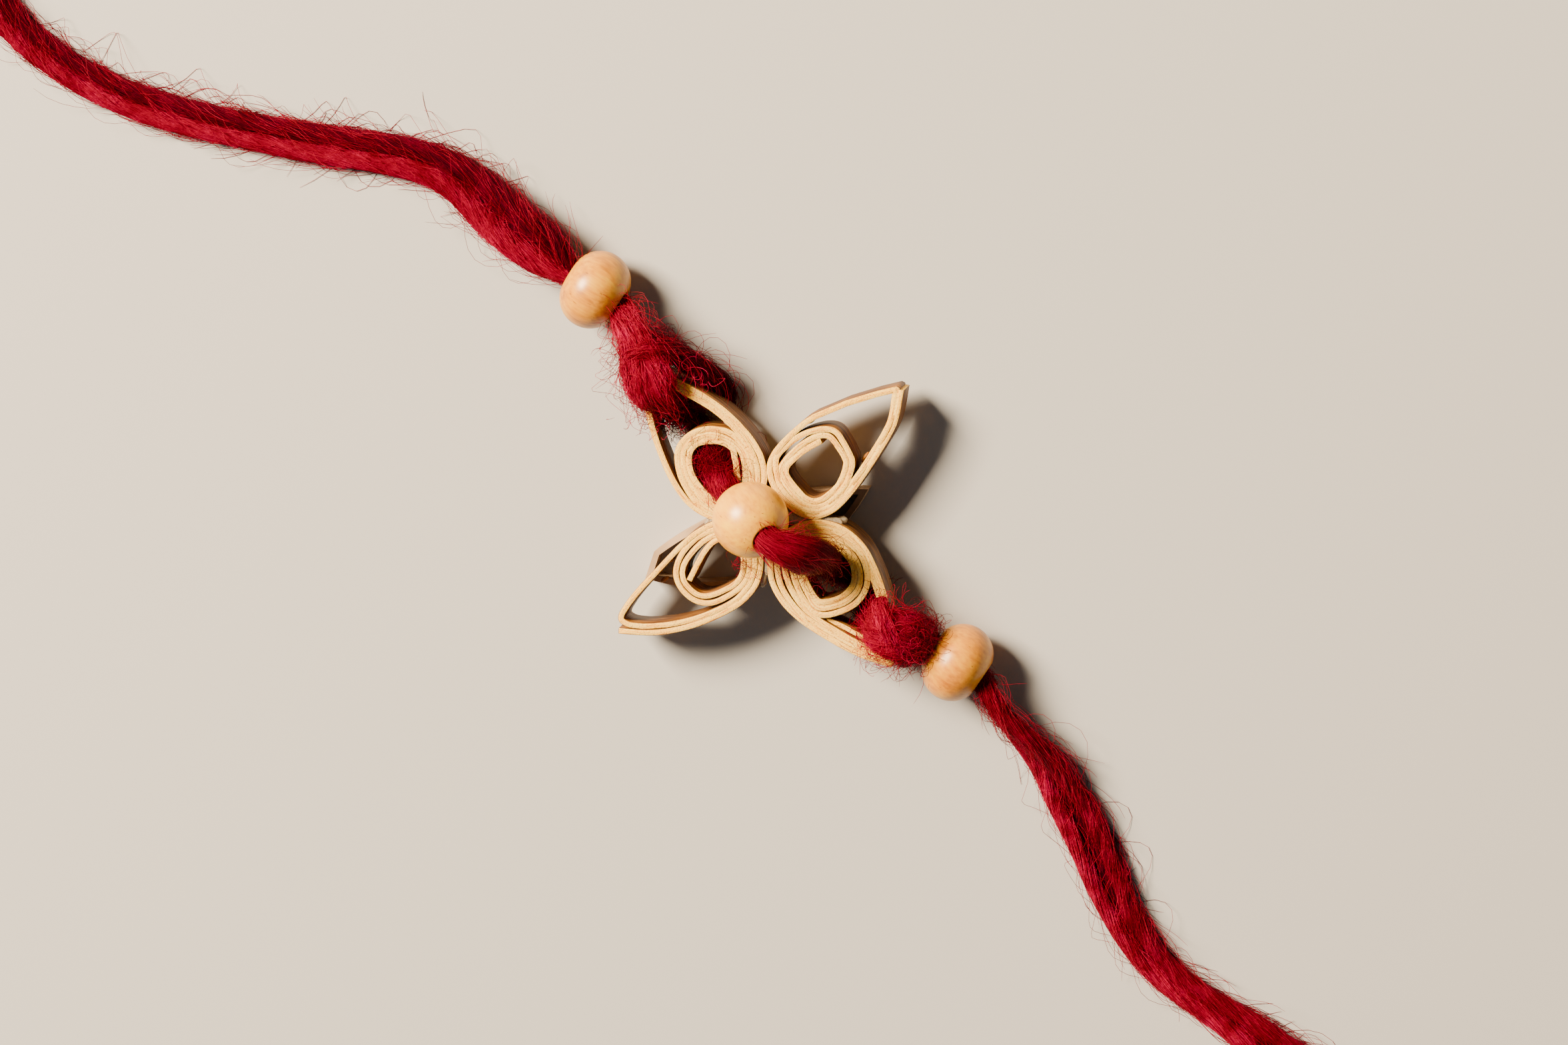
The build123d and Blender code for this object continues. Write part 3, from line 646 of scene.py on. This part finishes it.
for number, (side, rows) in enumerate(NECKS.items()):
    line, girths = [], []
    for a, b in zip(rows, rows[1:]):
        for step in range(NECK_STEPS):
            line.append(Vector(a[0]).lerp(Vector(b[0]), step / NECK_STEPS) * MM)
            girths.append(between(a[1:], b[1:], step / NECK_STEPS))
    line.append(Vector(rows[-1][0]) * MM)
    girths.append([size * MM for size in rows[-1][1:]])
    run = stations(line, girths)
    name = "yarn_neck_" + side
    yarn_core(name, run, [name])
    seen = [station for station in run if station.along > NECK_HIDDEN]
    yarn_fibres(name + "_fibres", seen, seed=41 + number, count=500, length=(1.5, 3.0),
                stray=0.12, reach=1.5, turn=0.1)

# the strand behind the left petal takes the painted shade copy of the wool
run = even_run(BEHIND, 2.4, 2.2, FLOWER)
yarn_core("yarn_behind_left", run, ["yarn_behind_left"], shade_body, 0.9)
yarn_fibres("yarn_behind_left_fibres", run, seed=51, count=900, length=HELD_FIBRES, stray=0.30,
            reach=2.6, finish=shade_fibre)
bpy.data.objects.remove(hair_shape)


# Petals
# Pale wood veneer cut in strips 4 mm high, each wound on edge round an open eye in one length and
# glued to itself where it meets. The cut edges show from above, cream and a little fibrous.
STRIP_HEIGHT = 4.0
PETAL_Z = 2.5
STRIP_LINES = {
    "petal_far": [
        (-1.95, 9.66), (-2.41, 7.82), (-2.55, 6.03), (-2.49, 5.39), (-2.29, 5.03), (-1.94, 4.76),
        (-1.0, 4.55), (0.19, 4.46), (0.76, 4.44), (1.3, 4.58), (1.78, 4.87), (2.09, 5.31),
        (2.27, 5.82), (2.36, 6.48), (2.39, 7.28), (2.31, 7.98), (1.36, 9.87), (1.08, 10.07),
        (-0.38, 10.46), (-1.11, 10.57), (-1.64, 10.55), (-2.04, 10.33), (-2.41, 9.88),
        (-2.69, 9.33), (-3.03, 7.75), (-3.07, 6.89), (-2.96, 5.31), (-2.74, 4.77), (-2.24, 4.37),
        (-0.93, 3.99), (-0.21, 3.9), (0.5, 3.87), (1.16, 3.97), (1.75, 4.21), (2.22, 4.56),
        (2.57, 5.04), (2.8, 5.63), (2.91, 6.35), (2.96, 7.12), (2.88, 7.95), (2.67, 8.71),
        (2.36, 9.37), (1.63, 10.44), (1.08, 10.71), (-0.58, 11.2), (-1.26, 11.33), (-1.8, 11.25),
        (-2.27, 10.97), (-2.68, 10.56), (-3.02, 10.07), (-3.57, 8.97), (-3.89, 7.65),
        (-3.95, 6.88), (-3.87, 5.37), (-3.6, 4.92), (-3.12, 4.44), (-2.56, 4.04), (-2.05, 3.73),
        (-1.47, 3.5), (-0.75, 3.33), (0.07, 3.27), (0.85, 3.32), (1.59, 3.54), (2.2, 3.9),
        (2.63, 4.29), (3.01, 4.87), (3.3, 6.03), (3.33, 7.3), (3.12, 9.19), (2.35, 12.8),
        (1.62, 15.47), (1.14, 16.45), (-0.18, 18.27), (-0.34, 18.62), (-0.55, 18.39), (-4.1, 10.8),
        (-4.41, 8.3), (-4.43, 7.5), (-4.35, 5.97), (-4.17, 5.1), (-3.9, 4.46), (-3.47, 3.92),
        (-2.94, 3.5), (-2.31, 3.17), (-1.59, 2.94), (-0.78, 2.81), (0.14, 2.79), (1.02, 2.87),
        (1.87, 3.13), (2.56, 3.53), (3.1, 4.1), (3.45, 4.85), (3.7, 5.7), (3.76, 6.33),
        (3.64, 8.33), (3.45, 9.54), (2.68, 13.15), (1.93, 15.8), (1.43, 16.76), (-0.06, 18.91)],
    "petal_near": [
        (-1.15, -9.87), (-2.03, -7.15), (-2.21, -6.31), (-2.25, -5.54), (-2.09, -4.83),
        (-1.71, -4.29), (-1.13, -3.94), (-0.42, -3.8), (0.37, -3.92), (1.04, -4.3), (1.56, -4.83),
        (2.0, -5.46), (2.22, -6.18), (2.2, -6.95), (2.01, -7.7), (1.51, -9.06), (1.16, -9.63),
        (0.63, -10.1), (-0.0, -10.33), (-0.69, -10.37), (-1.38, -10.28), (-1.98, -9.96),
        (-2.43, -9.48), (-2.73, -8.85), (-2.9, -8.07), (-2.99, -6.39), (-2.85, -5.46),
        (-2.58, -4.67), (-2.17, -4.03), (-1.54, -3.53), (-0.78, -3.3), (0.07, -3.29),
        (0.87, -3.52), (1.49, -3.95), (2.07, -4.57), (2.55, -5.29), (2.81, -6.1), (2.82, -6.91),
        (2.48, -8.57), (2.2, -9.35), (1.79, -10.0), (1.15, -10.56), (0.43, -10.89),
        (-0.39, -11.01), (-1.24, -10.95), (-2.02, -10.69), (-2.63, -10.24), (-3.08, -9.63),
        (-3.41, -8.89), (-3.62, -8.08), (-3.67, -6.5), (-3.55, -5.76), (-2.98, -4.27),
        (-2.5, -3.56), (-1.82, -3.05), (-0.95, -2.73), (-0.01, -2.68), (0.84, -2.87), (1.59, -3.3),
        (2.29, -3.93), (2.78, -4.63), (3.15, -5.46), (3.36, -6.33), (3.44, -7.21), (3.39, -8.02),
        (2.86, -9.88), (2.31, -11.32), (1.66, -12.67), (0.91, -13.91), (0.08, -15.09),
        (-1.85, -17.17), (-2.74, -17.62), (-3.11, -17.6), (-3.36, -17.34), (-3.54, -16.82),
        (-3.9, -14.55), (-4.04, -11.65), (-4.12, -6.71), (-3.82, -5.02), (-3.53, -4.11),
        (-3.02, -3.3), (-2.25, -2.62), (-1.31, -2.23), (-0.34, -2.09), (0.6, -2.17), (1.52, -2.56),
        (2.28, -3.12), (2.92, -3.8), (3.44, -4.62), (3.77, -5.48), (3.92, -6.42), (3.93, -7.43),
        (3.78, -8.41), (3.26, -10.28), (2.72, -11.74), (2.09, -13.1), (1.36, -14.37),
        (0.55, -15.57), (-0.37, -16.65), (-2.5, -18.62)],
    "petal_left": [
        (-4.87, 0.84), (-6.9, 2.37), (-7.42, 2.67), (-8.07, 2.62), (-8.73, 2.32), (-9.34, 1.82),
        (-9.85, 1.23), (-10.23, 0.56), (-10.32, -0.11), (-10.15, -0.7), (-9.73, -1.25),
        (-9.13, -1.75), (-8.3, -2.15), (-7.37, -2.38), (-6.39, -2.47), (-5.4, -2.42),
        (-4.62, -2.23), (-3.95, -1.79), (-3.54, -1.09), (-3.52, -0.29), (-3.76, 0.45),
        (-4.16, 1.08), (-4.66, 1.69), (-5.22, 2.23), (-5.86, 2.69), (-6.54, 3.03), (-7.22, 3.16),
        (-8.0, 3.11), (-8.75, 2.89), (-9.37, 2.55), (-9.9, 2.11), (-10.34, 1.58), (-10.67, 0.94),
        (-10.84, 0.27), (-10.83, -0.43), (-10.62, -1.06), (-10.19, -1.6), (-9.52, -2.16),
        (-8.67, -2.61), (-7.68, -2.91), (-6.63, -3.06), (-5.63, -3.02), (-4.71, -2.83),
        (-4.0, -2.44), (-3.45, -1.88), (-3.06, -1.16), (-2.94, -0.31), (-3.08, 0.46), (-3.4, 1.12),
        (-3.83, 1.72), (-4.38, 2.27), (-4.99, 2.76), (-5.66, 3.18), (-6.38, 3.49), (-7.13, 3.68),
        (-7.94, 3.74), (-8.71, 3.61), (-9.33, 3.34), (-9.88, 2.92), (-10.39, 2.46), (-10.81, 1.91),
        (-11.15, 1.28), (-11.36, 0.59), (-11.41, -0.19), (-11.28, -0.98), (-10.92, -1.66),
        (-10.37, -2.21), (-9.65, -2.73), (-8.83, -3.14), (-7.81, -3.47), (-6.71, -3.67),
        (-5.73, -3.62), (-4.81, -3.43), (-3.98, -3.01), (-3.32, -2.43), (-2.84, -1.66),
        (-2.59, -0.8), (-2.53, 0.11), (-2.68, 0.88), (-2.99, 1.54), (-3.42, 2.15), (-3.97, 2.7),
        (-4.59, 3.18), (-5.29, 3.57), (-6.08, 3.87), (-7.88, 4.23), (-9.98, 4.27), (-11.1, 4.15),
        (-12.28, 3.94), (-15.34, 3.01), (-17.99, 2.48), (-18.9, 2.15), (-19.55, 1.83),
        (-18.99, 1.29), (-17.23, 0.04), (-15.13, -1.28), (-13.1, -2.39), (-12.07, -2.87),
        (-9.92, -3.72), (-7.73, -4.25), (-6.57, -4.3), (-5.48, -4.14), (-4.46, -3.78),
        (-3.6, -3.25), (-3.03, -2.72), (-2.46, -1.91), (-2.11, -0.93), (-2.02, 0.02),
        (-2.14, 0.96), (-2.47, 1.82), (-2.92, 2.54), (-3.44, 3.12), (-4.89, 4.14), (-5.84, 4.47),
        (-6.97, 4.7), (-8.09, 4.79), (-9.28, 4.81), (-11.55, 4.6), (-14.75, 3.8), (-19.65, 2.07)],
    "petal_right": [
        (6.04, -1.03), (7.79, -1.66), (8.65, -1.84), (9.3, -1.81), (9.74, -1.34), (10.19, -0.59),
        (10.47, 0.18), (10.53, 1.02), (10.41, 1.75), (10.01, 2.41), (9.46, 2.92), (8.78, 3.29),
        (8.04, 3.43), (7.26, 3.38), (6.44, 3.15), (5.64, 2.75), (4.95, 2.24), (4.48, 1.58),
        (4.3, 0.86), (4.51, 0.15), (4.95, -0.47), (6.15, -1.37), (8.32, -2.18), (9.18, -2.36),
        (9.77, -2.2), (10.28, -1.66), (10.69, -0.94), (11.03, -0.08), (11.16, 0.84), (11.09, 1.7),
        (10.75, 2.42), (10.25, 2.98), (9.65, 3.43), (8.92, 3.75), (8.11, 3.89), (7.22, 3.87),
        (6.37, 3.67), (5.52, 3.32), (4.75, 2.81), (4.13, 2.15), (3.74, 1.34), (3.68, 0.5),
        (3.98, -0.26), (4.51, -0.94), (5.15, -1.5), (6.8, -2.4), (7.7, -2.69), (8.56, -2.87),
        (9.45, -2.94), (10.15, -2.73), (10.74, -2.19), (11.19, -1.44), (11.56, -0.61),
        (11.81, 0.28), (11.86, 1.2), (11.66, 2.15), (11.31, 2.87), (10.81, 3.42), (10.22, 3.88),
        (9.55, 4.25), (8.73, 4.47), (7.84, 4.53), (6.88, 4.44), (6.01, 4.18), (5.15, 3.77),
        (4.35, 3.21), (3.72, 2.49), (3.27, 1.67), (3.08, 0.8), (3.15, -0.06), (3.51, -0.84),
        (4.0, -1.48), (4.64, -2.05), (5.37, -2.52), (7.11, -3.16), (8.9, -3.36), (9.98, -3.31),
        (12.21, -2.76), (14.54, -2.07), (16.67, -1.2), (18.02, -0.51), (17.64, -0.06),
        (15.81, 1.28), (11.17, 3.8), (9.5, 4.52), (8.54, 4.73), (7.54, 4.75), (6.55, 4.61),
        (5.62, 4.35), (4.7, 3.99), (3.97, 3.45), (3.38, 2.76), (2.9, 1.96), (2.63, 1.02),
        (2.57, 0.1), (2.73, -0.81), (3.17, -1.59), (3.73, -2.24), (4.38, -2.79), (5.11, -3.27),
        (5.89, -3.6), (6.77, -3.83), (7.68, -3.96), (8.61, -3.98), (9.58, -3.89), (11.66, -3.41),
        (13.98, -2.72), (17.15, -1.37), (18.06, -0.92), (18.48, -0.6), (17.95, 0.11),
        (17.04, 0.87), (15.07, 2.2), (12.44, 3.76), (9.61, 4.94), (8.53, 5.19), (7.42, 5.25),
        (6.27, 5.12), (5.24, 4.8), (4.36, 4.33), (3.61, 3.72), (3.01, 2.97), (2.54, 2.09),
        (2.26, 1.17), (2.12, 0.17), (2.21, -0.82), (2.52, -1.73), (3.05, -2.49), (3.73, -3.17),
        (4.41, -3.7), (5.27, -4.11), (6.2, -4.36), (7.17, -4.5), (9.07, -4.44), (10.04, -4.29),
        (13.23, -3.47), (15.41, -2.72), (16.46, -2.26), (18.73, -0.99)],
    "inner_layer": [(10.88, -2.78), (12.69, -2.03), (16.55, -0.78)],
}
THICKNESS = {"petal_far": 0.59, "petal_near": 0.61, "petal_left": 0.61, "petal_right": 0.61,
             "inner_layer": 0.55}
TOP_DROP = {"inner_layer": 0.7}
# the cut edge isn't straight: its waves and how far they lie below the strip's full height
EDGE_WAVE = 0.09 * MM
EDGE_DROP = 0.06 * MM
WORN_EDGE = 0.045 * MM


def veneer_edge():
    """Cut edge of limewood veneer: cream, matt, with amber streaks and cross-cut fibres."""
    material = new_material("veneer, cut edge")
    where = add_node(material, "ShaderNodeTexCoord").outputs
    run = add_node(material, "ShaderNodeSeparateXYZ", {"Vector": where["UV"]})
    across = add_node(material, "ShaderNodeAttribute", attribute_name="across")
    place = add_node(material, "ShaderNodeCombineXYZ", {
        "X": run.outputs["X"], "Y": across.outputs["Fac"]})
    lay = stretched(material, place.outputs["Vector"], (0.45, 4.5, 1.0))
    base = add_ramp(material, add_noise(material, lay, 1.0),
                    (0.34, "#CC8026"), (0.44, "#FFBC3C"), (0.60, "#FFD468"))
    cut_fibre = add_noise(material, where["Object"], 1 / (0.16 * MM), 3.0, 0.7)
    speck = add_ramp(material, cut_fibre, (0.32, "#8A5A24"), (0.46, "#FFFFFF"))
    colour = add_node(material, "ShaderNodeMix", {"Factor": 0.7, "A": base, "B": speck},
                      data_type="RGBA", blend_type="MULTIPLY")
    return end_material(material, {
        "Base Color": colour.outputs["Result"], "Roughness": 0.78, "Specular IOR Level": 0.3,
        "Normal": add_bump(material, cut_fibre, 0.9, 0.09)})


def shaded_veneer_face():
    """Broad face of the veneer, painted shade: dark amber-brown, though the wood is as pale as its
    cut edge, with fine grain along the strip.
    """
    material = new_material("veneer, broad face, painted shade")
    where = add_node(material, "ShaderNodeTexCoord").outputs
    grain = add_noise(material, stretched(material, where["UV"], (0.30, 2.6, 1.0)), 1.0)
    return end_material(material, {
        "Base Color": add_ramp(material, grain,
                               (0.34, "#3A1C04"), (0.50, "#6A3E10"), (0.64, "#A06A26")),
        "Roughness": 0.55, "Specular IOR Level": 0.4,
        "Normal": add_bump(material, grain, 0.4, 0.04)})


cut_edge = veneer_edge()
shaded_broad_face = shaded_veneer_face()


def wound_strip(name, replaced):
    """A strip on edge: its line is drawn up into a wall, then given its thickness."""
    spots = STRIP_LINES[name]
    shape = bmesh.new()
    run = shape.verts.layers.float.new("along")
    chain = [shape.verts.new(place)
             for place in line_through([(x, y, PETAL_Z) for x, y in spots], 3, FLOWER)]
    distance = 0.0
    for before, after in zip(chain, chain[1:]):
        shape.edges.new((before, after))
        distance += (after.co - before.co).length / MM
        after[run] = distance
    height = STRIP_HEIGHT - TOP_DROP.get(name, 0)
    edges = shape.edges[:]
    for _ in range(2):
        drawn = bmesh.ops.extrude_edge_only(shape, edges=edges)["geom"]
        bmesh.ops.translate(shape, vec=(0, 0, height * MM / 2),
                            verts=[g for g in drawn if isinstance(g, bmesh.types.BMVert)])
        edges = [g for g in drawn if isinstance(g, bmesh.types.BMEdge)
                 and abs(g.verts[0].co.z - g.verts[1].co.z) < 1e-7]
    top = (PETAL_Z + height) * MM
    for vertex in shape.verts:
        if vertex.co.z > top - 0.01 * MM:
            wave = noise.noise(Vector((vertex[run] * 0.35, 3, len(spots))))
            vertex.co.z += EDGE_WAVE * wave - EDGE_DROP
    unwrap = shape.loops.layers.uv.new("UVMap")
    for face in shape.faces:
        for loop in face.loops:
            loop[unwrap].uv = (loop.vert[run], loop.vert.co.z / MM)
    piece = add_object(name, mesh_from(shape, name, shaded_broad_face, cut_edge))
    wall = piece.modifiers.new("thickness", "SOLIDIFY")
    wall.thickness = THICKNESS[name] * MM
    wall.offset = 0
    wall.use_even_offset = True
    wall.material_offset_rim = 1
    # the thick wall is kept, with the side that each vertex is on for the cut edge's streaks
    mesh = mesh_now(piece)
    side = mesh.attributes.new("across", "FLOAT", "POINT")
    for i, vertex in enumerate(side.data):
        vertex.value = float(i >= len(mesh.vertices) // 2)
    piece.modifiers.remove(wall)
    piece.data = mesh
    soft = piece.modifiers.new("worn edges", "BEVEL")
    soft.width = WORN_EDGE
    soft.segments = 1
    soft.material = 0
    soft.limit_method = "ANGLE"
    soft.angle_limit = math.radians(50)
    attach(piece, "root")
    if replaced:
        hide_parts(replaced)


for name in STRIP_LINES:
    wound_strip(name, name if name.startswith("petal") else "")


# Glue
# Clear glue run between the petals and left on top in glossy crumbs and skins, and amber runs where
# a strip's end was stuck down.
CRUMB_SIZE = 0.5 * MM
CRUMB_DEPTH = 0.05 * MM
Glue = namedtuple("Glue", "x y z long wide high bearing")
CLEAR_GLUE = [
    Glue(3.9, 1.9, 6.10, 1.2, 0.50, 0.20, 20), Glue(5.0, 2.6, 6.10, 1.3, 0.55, 0.22, 45),
    Glue(6.1, 3.6, 6.05, 1.5, 0.60, 0.25, 50), Glue(7.0, 4.5, 5.80, 1.1, 0.50, 0.30, 42),
    Glue(7.6, 5.2, 5.20, 0.6, 0.4, 0.40, 60), Glue(6.6, -4.8, 5.40, 0.6, 0.30, 0.40, -60),
    Glue(6.1, -4.2, 5.90, 1.0, 0.40, 0.25, -55), Glue(5.6, -3.0, 6.10, 1.2, 0.45, 0.22, -50),
    Glue(-1.4, -4.6, 5.70, 0.6, 0.35, 0.3, -60), Glue(-1.2, -3.9, 6.10, 0.8, 0.4, 0.25, -50),
    Glue(13.9, 3.0, 5.7, 0.6, 0.3, 0.3, -30), Glue(-7.0, 4.1, 6.10, 0.6, 0.35, 0.25, 10),
]
AMBER_GLUE = [
    Glue(-1.35, -9.9, 5.5, 0.45, 0.25, 0.4, 85), Glue(4.75, 11.2, 4.6, 0.6, 0.2, 0.4, 100),
    Glue(-1.5, 9.9, 4.8, 0.5, 0.2, 0.4, 80), Glue(-0.4, -12.2, 4.2, 0.5, 0.25, 0.4, 80),
]


def dried_glue(name, tint, through, rough):
    """Dried craft glue: glossy, partly clear, its skin wrinkled so that it glitters."""
    material = new_material(name)
    where = add_node(material, "ShaderNodeTexCoord").outputs
    wrinkle = add_noise(material, where["Object"], 1 / (0.25 * MM), 4.0, 0.7)
    return end_material(material, {
        "Base Color": linear(tint), "Roughness": rough, "IOR": 1.48,
        "Transmission Weight": through, "Normal": add_bump(material, wrinkle, 0.9, 0.12)})


clear_finish = dried_glue("dried clear glue", "#F4DCB0", 0.7, 0.2)
amber_finish = dried_glue("dried amber glue", "#C98030", 0.35, 0.25)
for name, spots, finish in (("glue_clear", CLEAR_GLUE, clear_finish),
                            ("glue_amber", AMBER_GLUE, amber_finish)):
    shape = bmesh.new()
    for spot in spots:
        blob = bmesh.ops.create_icosphere(shape, subdivisions=4, radius=1.0)["verts"]
        place = (Matrix.Translation(Vector((spot.x, spot.y, spot.z)) * MM)
                 @ Matrix.Rotation(math.radians(spot.bearing), 4, "Z")
                 @ Matrix.Diagonal((spot.long * MM, spot.wide * MM, spot.high * MM, 1)))
        bmesh.ops.transform(shape, matrix=place, verts=blob)
        for vertex in blob:
            vertex.co += noise.noise_vector(vertex.co / CRUMB_SIZE) * CRUMB_DEPTH
    piece = add_object(name, mesh_from(shape, name, finish))
    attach(piece, "root")


# Loop under the flower
# A lower loop of the same veneer, glued under the petals. The imported shape is right, so it only
# takes a paler copy of the veneer's finish, painted light.
def lit_veneer_loop():
    """The same veneer painted light, paler so that its shaded faces look lit, with grain along the
    floor's plane.
    """
    material = new_material("veneer, lower loop, painted light")
    where = add_node(material, "ShaderNodeTexCoord").outputs
    grain = add_noise(material, stretched(material, where["Object"], (150, 150, 4000)), 1.0,
                      rough=0.5)
    return end_material(material, {
        "Base Color": add_ramp(material, grain, (0.30, "#8A6844"), (0.70, "#D0B088")),
        "Roughness": 0.7, "Normal": add_bump(material, grain, 0.4, 0.04)})


loop_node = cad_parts["back_loop"]
loop_node.data.materials.clear()
loop_node.data.materials.append(lit_veneer_loop())


# Beads
# Turned from a pale hardwood and waxed: two squat ones beside the flower and a round one on top,
# each drilled through. The mouths are rounded over.
Bead = namedtuple("Bead", "name centre way half radius rim bore grain stretch")
BEADS = [
    Bead("bead_left", (-25.67, 3.27, 4.0), level_way(14), 2.9, 4.0, 1.75, 1.35,
         "#A45E02 #D48A02 #E8AC0C", 260),
    Bead("bead_right", (25.67, 3.27, 4.0), level_way(12), 2.9, 4.0, 1.75, 1.35,
         "#B46602 #DA8A02 #ECA80C", 1100),
    Bead("bead_centre", MIDDLE, MIDDLE_BORE, 3.458, 3.75, 1.45, 1.45,
         "#C47A02 #E8A000 #F6B80C", 700),
]
MOUTH_ROUNDING = 0.18 * MM
# how far out the straight bore goes, as a share of the half length
BORE_SHARE = 0.93
SIDE_STEPS = 28
LATHE_STEPS = 72


def waxed_hardwood(bead, matrix):
    """Turned and waxed hardwood: soft gloss, fine grain along the bore and small dark pores."""
    dark, mid, light = bead.grain.split()
    material = new_material("waxed hardwood, " + bead.name)
    where = add_node(material, "ShaderNodeTexCoord").outputs
    square = add_node(material, "ShaderNodeMapping", {
        "Vector": where["Object"], "Rotation": tuple(matrix.inverted().to_euler())})
    lay = stretched(material, square.outputs["Vector"], (2600, 2600, bead.stretch))
    grain = add_noise(material, lay, 1.0, 4.0, 0.55)
    broad = add_noise(material, square.outputs["Vector"], 1 / (2.4 * MM), 2.0, 0.5)
    both = add_node(material, "ShaderNodeMix", {"Factor": 0.5, "A": grain, "B": broad})
    colour = add_ramp(material, both.outputs["Result"], (0.32, dark), (0.50, mid), (0.68, light))
    pores = add_node(material, "ShaderNodeTexVoronoi", {
        "Vector": lay, "Scale": 0.55, "Randomness": 1.0})
    dots = add_ramp(material, pores.outputs["Distance"], (0.05, "#7A4A1C"), (0.12, "#FFFFFF"))
    pored = add_node(material, "ShaderNodeMix", {"Factor": 0.5, "A": colour, "B": dots},
                     data_type="RGBA", blend_type="MULTIPLY")
    return end_material(material, {
        "Base Color": pored.outputs["Result"], "Roughness": 0.36, "Specular IOR Level": 0.5,
        "Coat Weight": 0.15, "Coat Roughness": 0.25,
        "Normal": add_bump(material, grain, 0.25, 0.03)})


for bead in BEADS:
    # centre and radius of the side's arc, through the rim's edge and the widest place
    over = bead.radius ** 2 - bead.rim ** 2 - bead.half ** 2
    side_middle = over / (2 * (bead.radius - bead.rim))
    side_radius = bead.radius - side_middle
    reach = math.asin(min(1.0, bead.half / side_radius))
    bore_half = bead.half * BORE_SHARE
    profile = [(bead.bore, -bore_half), (bead.bore, bore_half)]
    for step in range(SIDE_STEPS + 1):
        angle = reach * (1 - 2 * step / SIDE_STEPS)
        profile.append((side_middle + side_radius * math.cos(angle),
                        side_radius * math.sin(angle)))
    shape = bmesh.new()
    chain = [shape.verts.new(Vector((r, 0, z)) * MM) for r, z in profile]
    for a, b in zip(chain, chain[1:] + chain[:1]):
        shape.edges.new((a, b))
    bmesh.ops.spin(shape, geom=shape.verts[:] + shape.edges[:], cent=(0, 0, 0), axis=(0, 0, 1),
                   angle=2 * math.pi, steps=LATHE_STEPS, use_merge=True)
    bmesh.ops.remove_doubles(shape, verts=shape.verts, dist=1e-6)
    bmesh.ops.recalc_face_normals(shape, faces=shape.faces)
    matrix = Vector(bead.way).to_track_quat("Z", "Y").to_matrix().to_4x4()
    place = Matrix.Translation(Vector(bead.centre) * MM) @ matrix
    bmesh.ops.transform(shape, matrix=place, verts=shape.verts)
    piece = add_object(bead.name, mesh_from(shape, bead.name, waxed_hardwood(bead, matrix)))
    rounding = piece.modifiers.new("rounded mouths", "BEVEL")
    rounding.width = MOUTH_ROUNDING
    rounding.segments = 3
    rounding.limit_method = "ANGLE"
    rounding.angle_limit = math.radians(35)
    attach(piece, "root")
    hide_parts(bead.name)


# Floor and light
# A plain pale surface, a broad soft light from the bracelet's left end and a weak one opposite.
FLOOR_HALF = 1.5
shape = bmesh.new()
bmesh.ops.create_grid(shape, x_segments=1, y_segments=1, size=FLOOR_HALF)
floor_finish = end_material(new_material("plain pale floor"), {
    "Base Color": linear("#B4B1AC"), "Roughness": 0.9})
floor = add_object("floor", mesh_from(shape, "floor", floor_finish))

Light = namedtuple("Light", "name place size power colour")
for light in [Light("window", (-0.627, -0.088, 0.612), 0.32, 44.0, "#FFEACC"),
              Light("fill", (0.35, -0.30, 0.45), 0.6, 0.3, "#F4F4FF")]:
    lamp = bpy.data.lights.new(light.name, "AREA")
    lamp.size = light.size
    lamp.energy = light.power
    lamp.color = linear(light.colour)[:3]
    holder = add_object(light.name, lamp)
    holder.matrix_world = (Matrix.Translation(light.place)
                           @ Vector(light.place).to_track_quat("Z", "Y").to_matrix().to_4x4())
world = bpy.data.worlds.new("studio")
bpy.context.scene.world = world
world.use_nodes = True
world.node_tree.nodes["Background"].inputs["Color"].default_value = linear("#F2F0EE")
world.node_tree.nodes["Background"].inputs["Strength"].default_value = 0.1
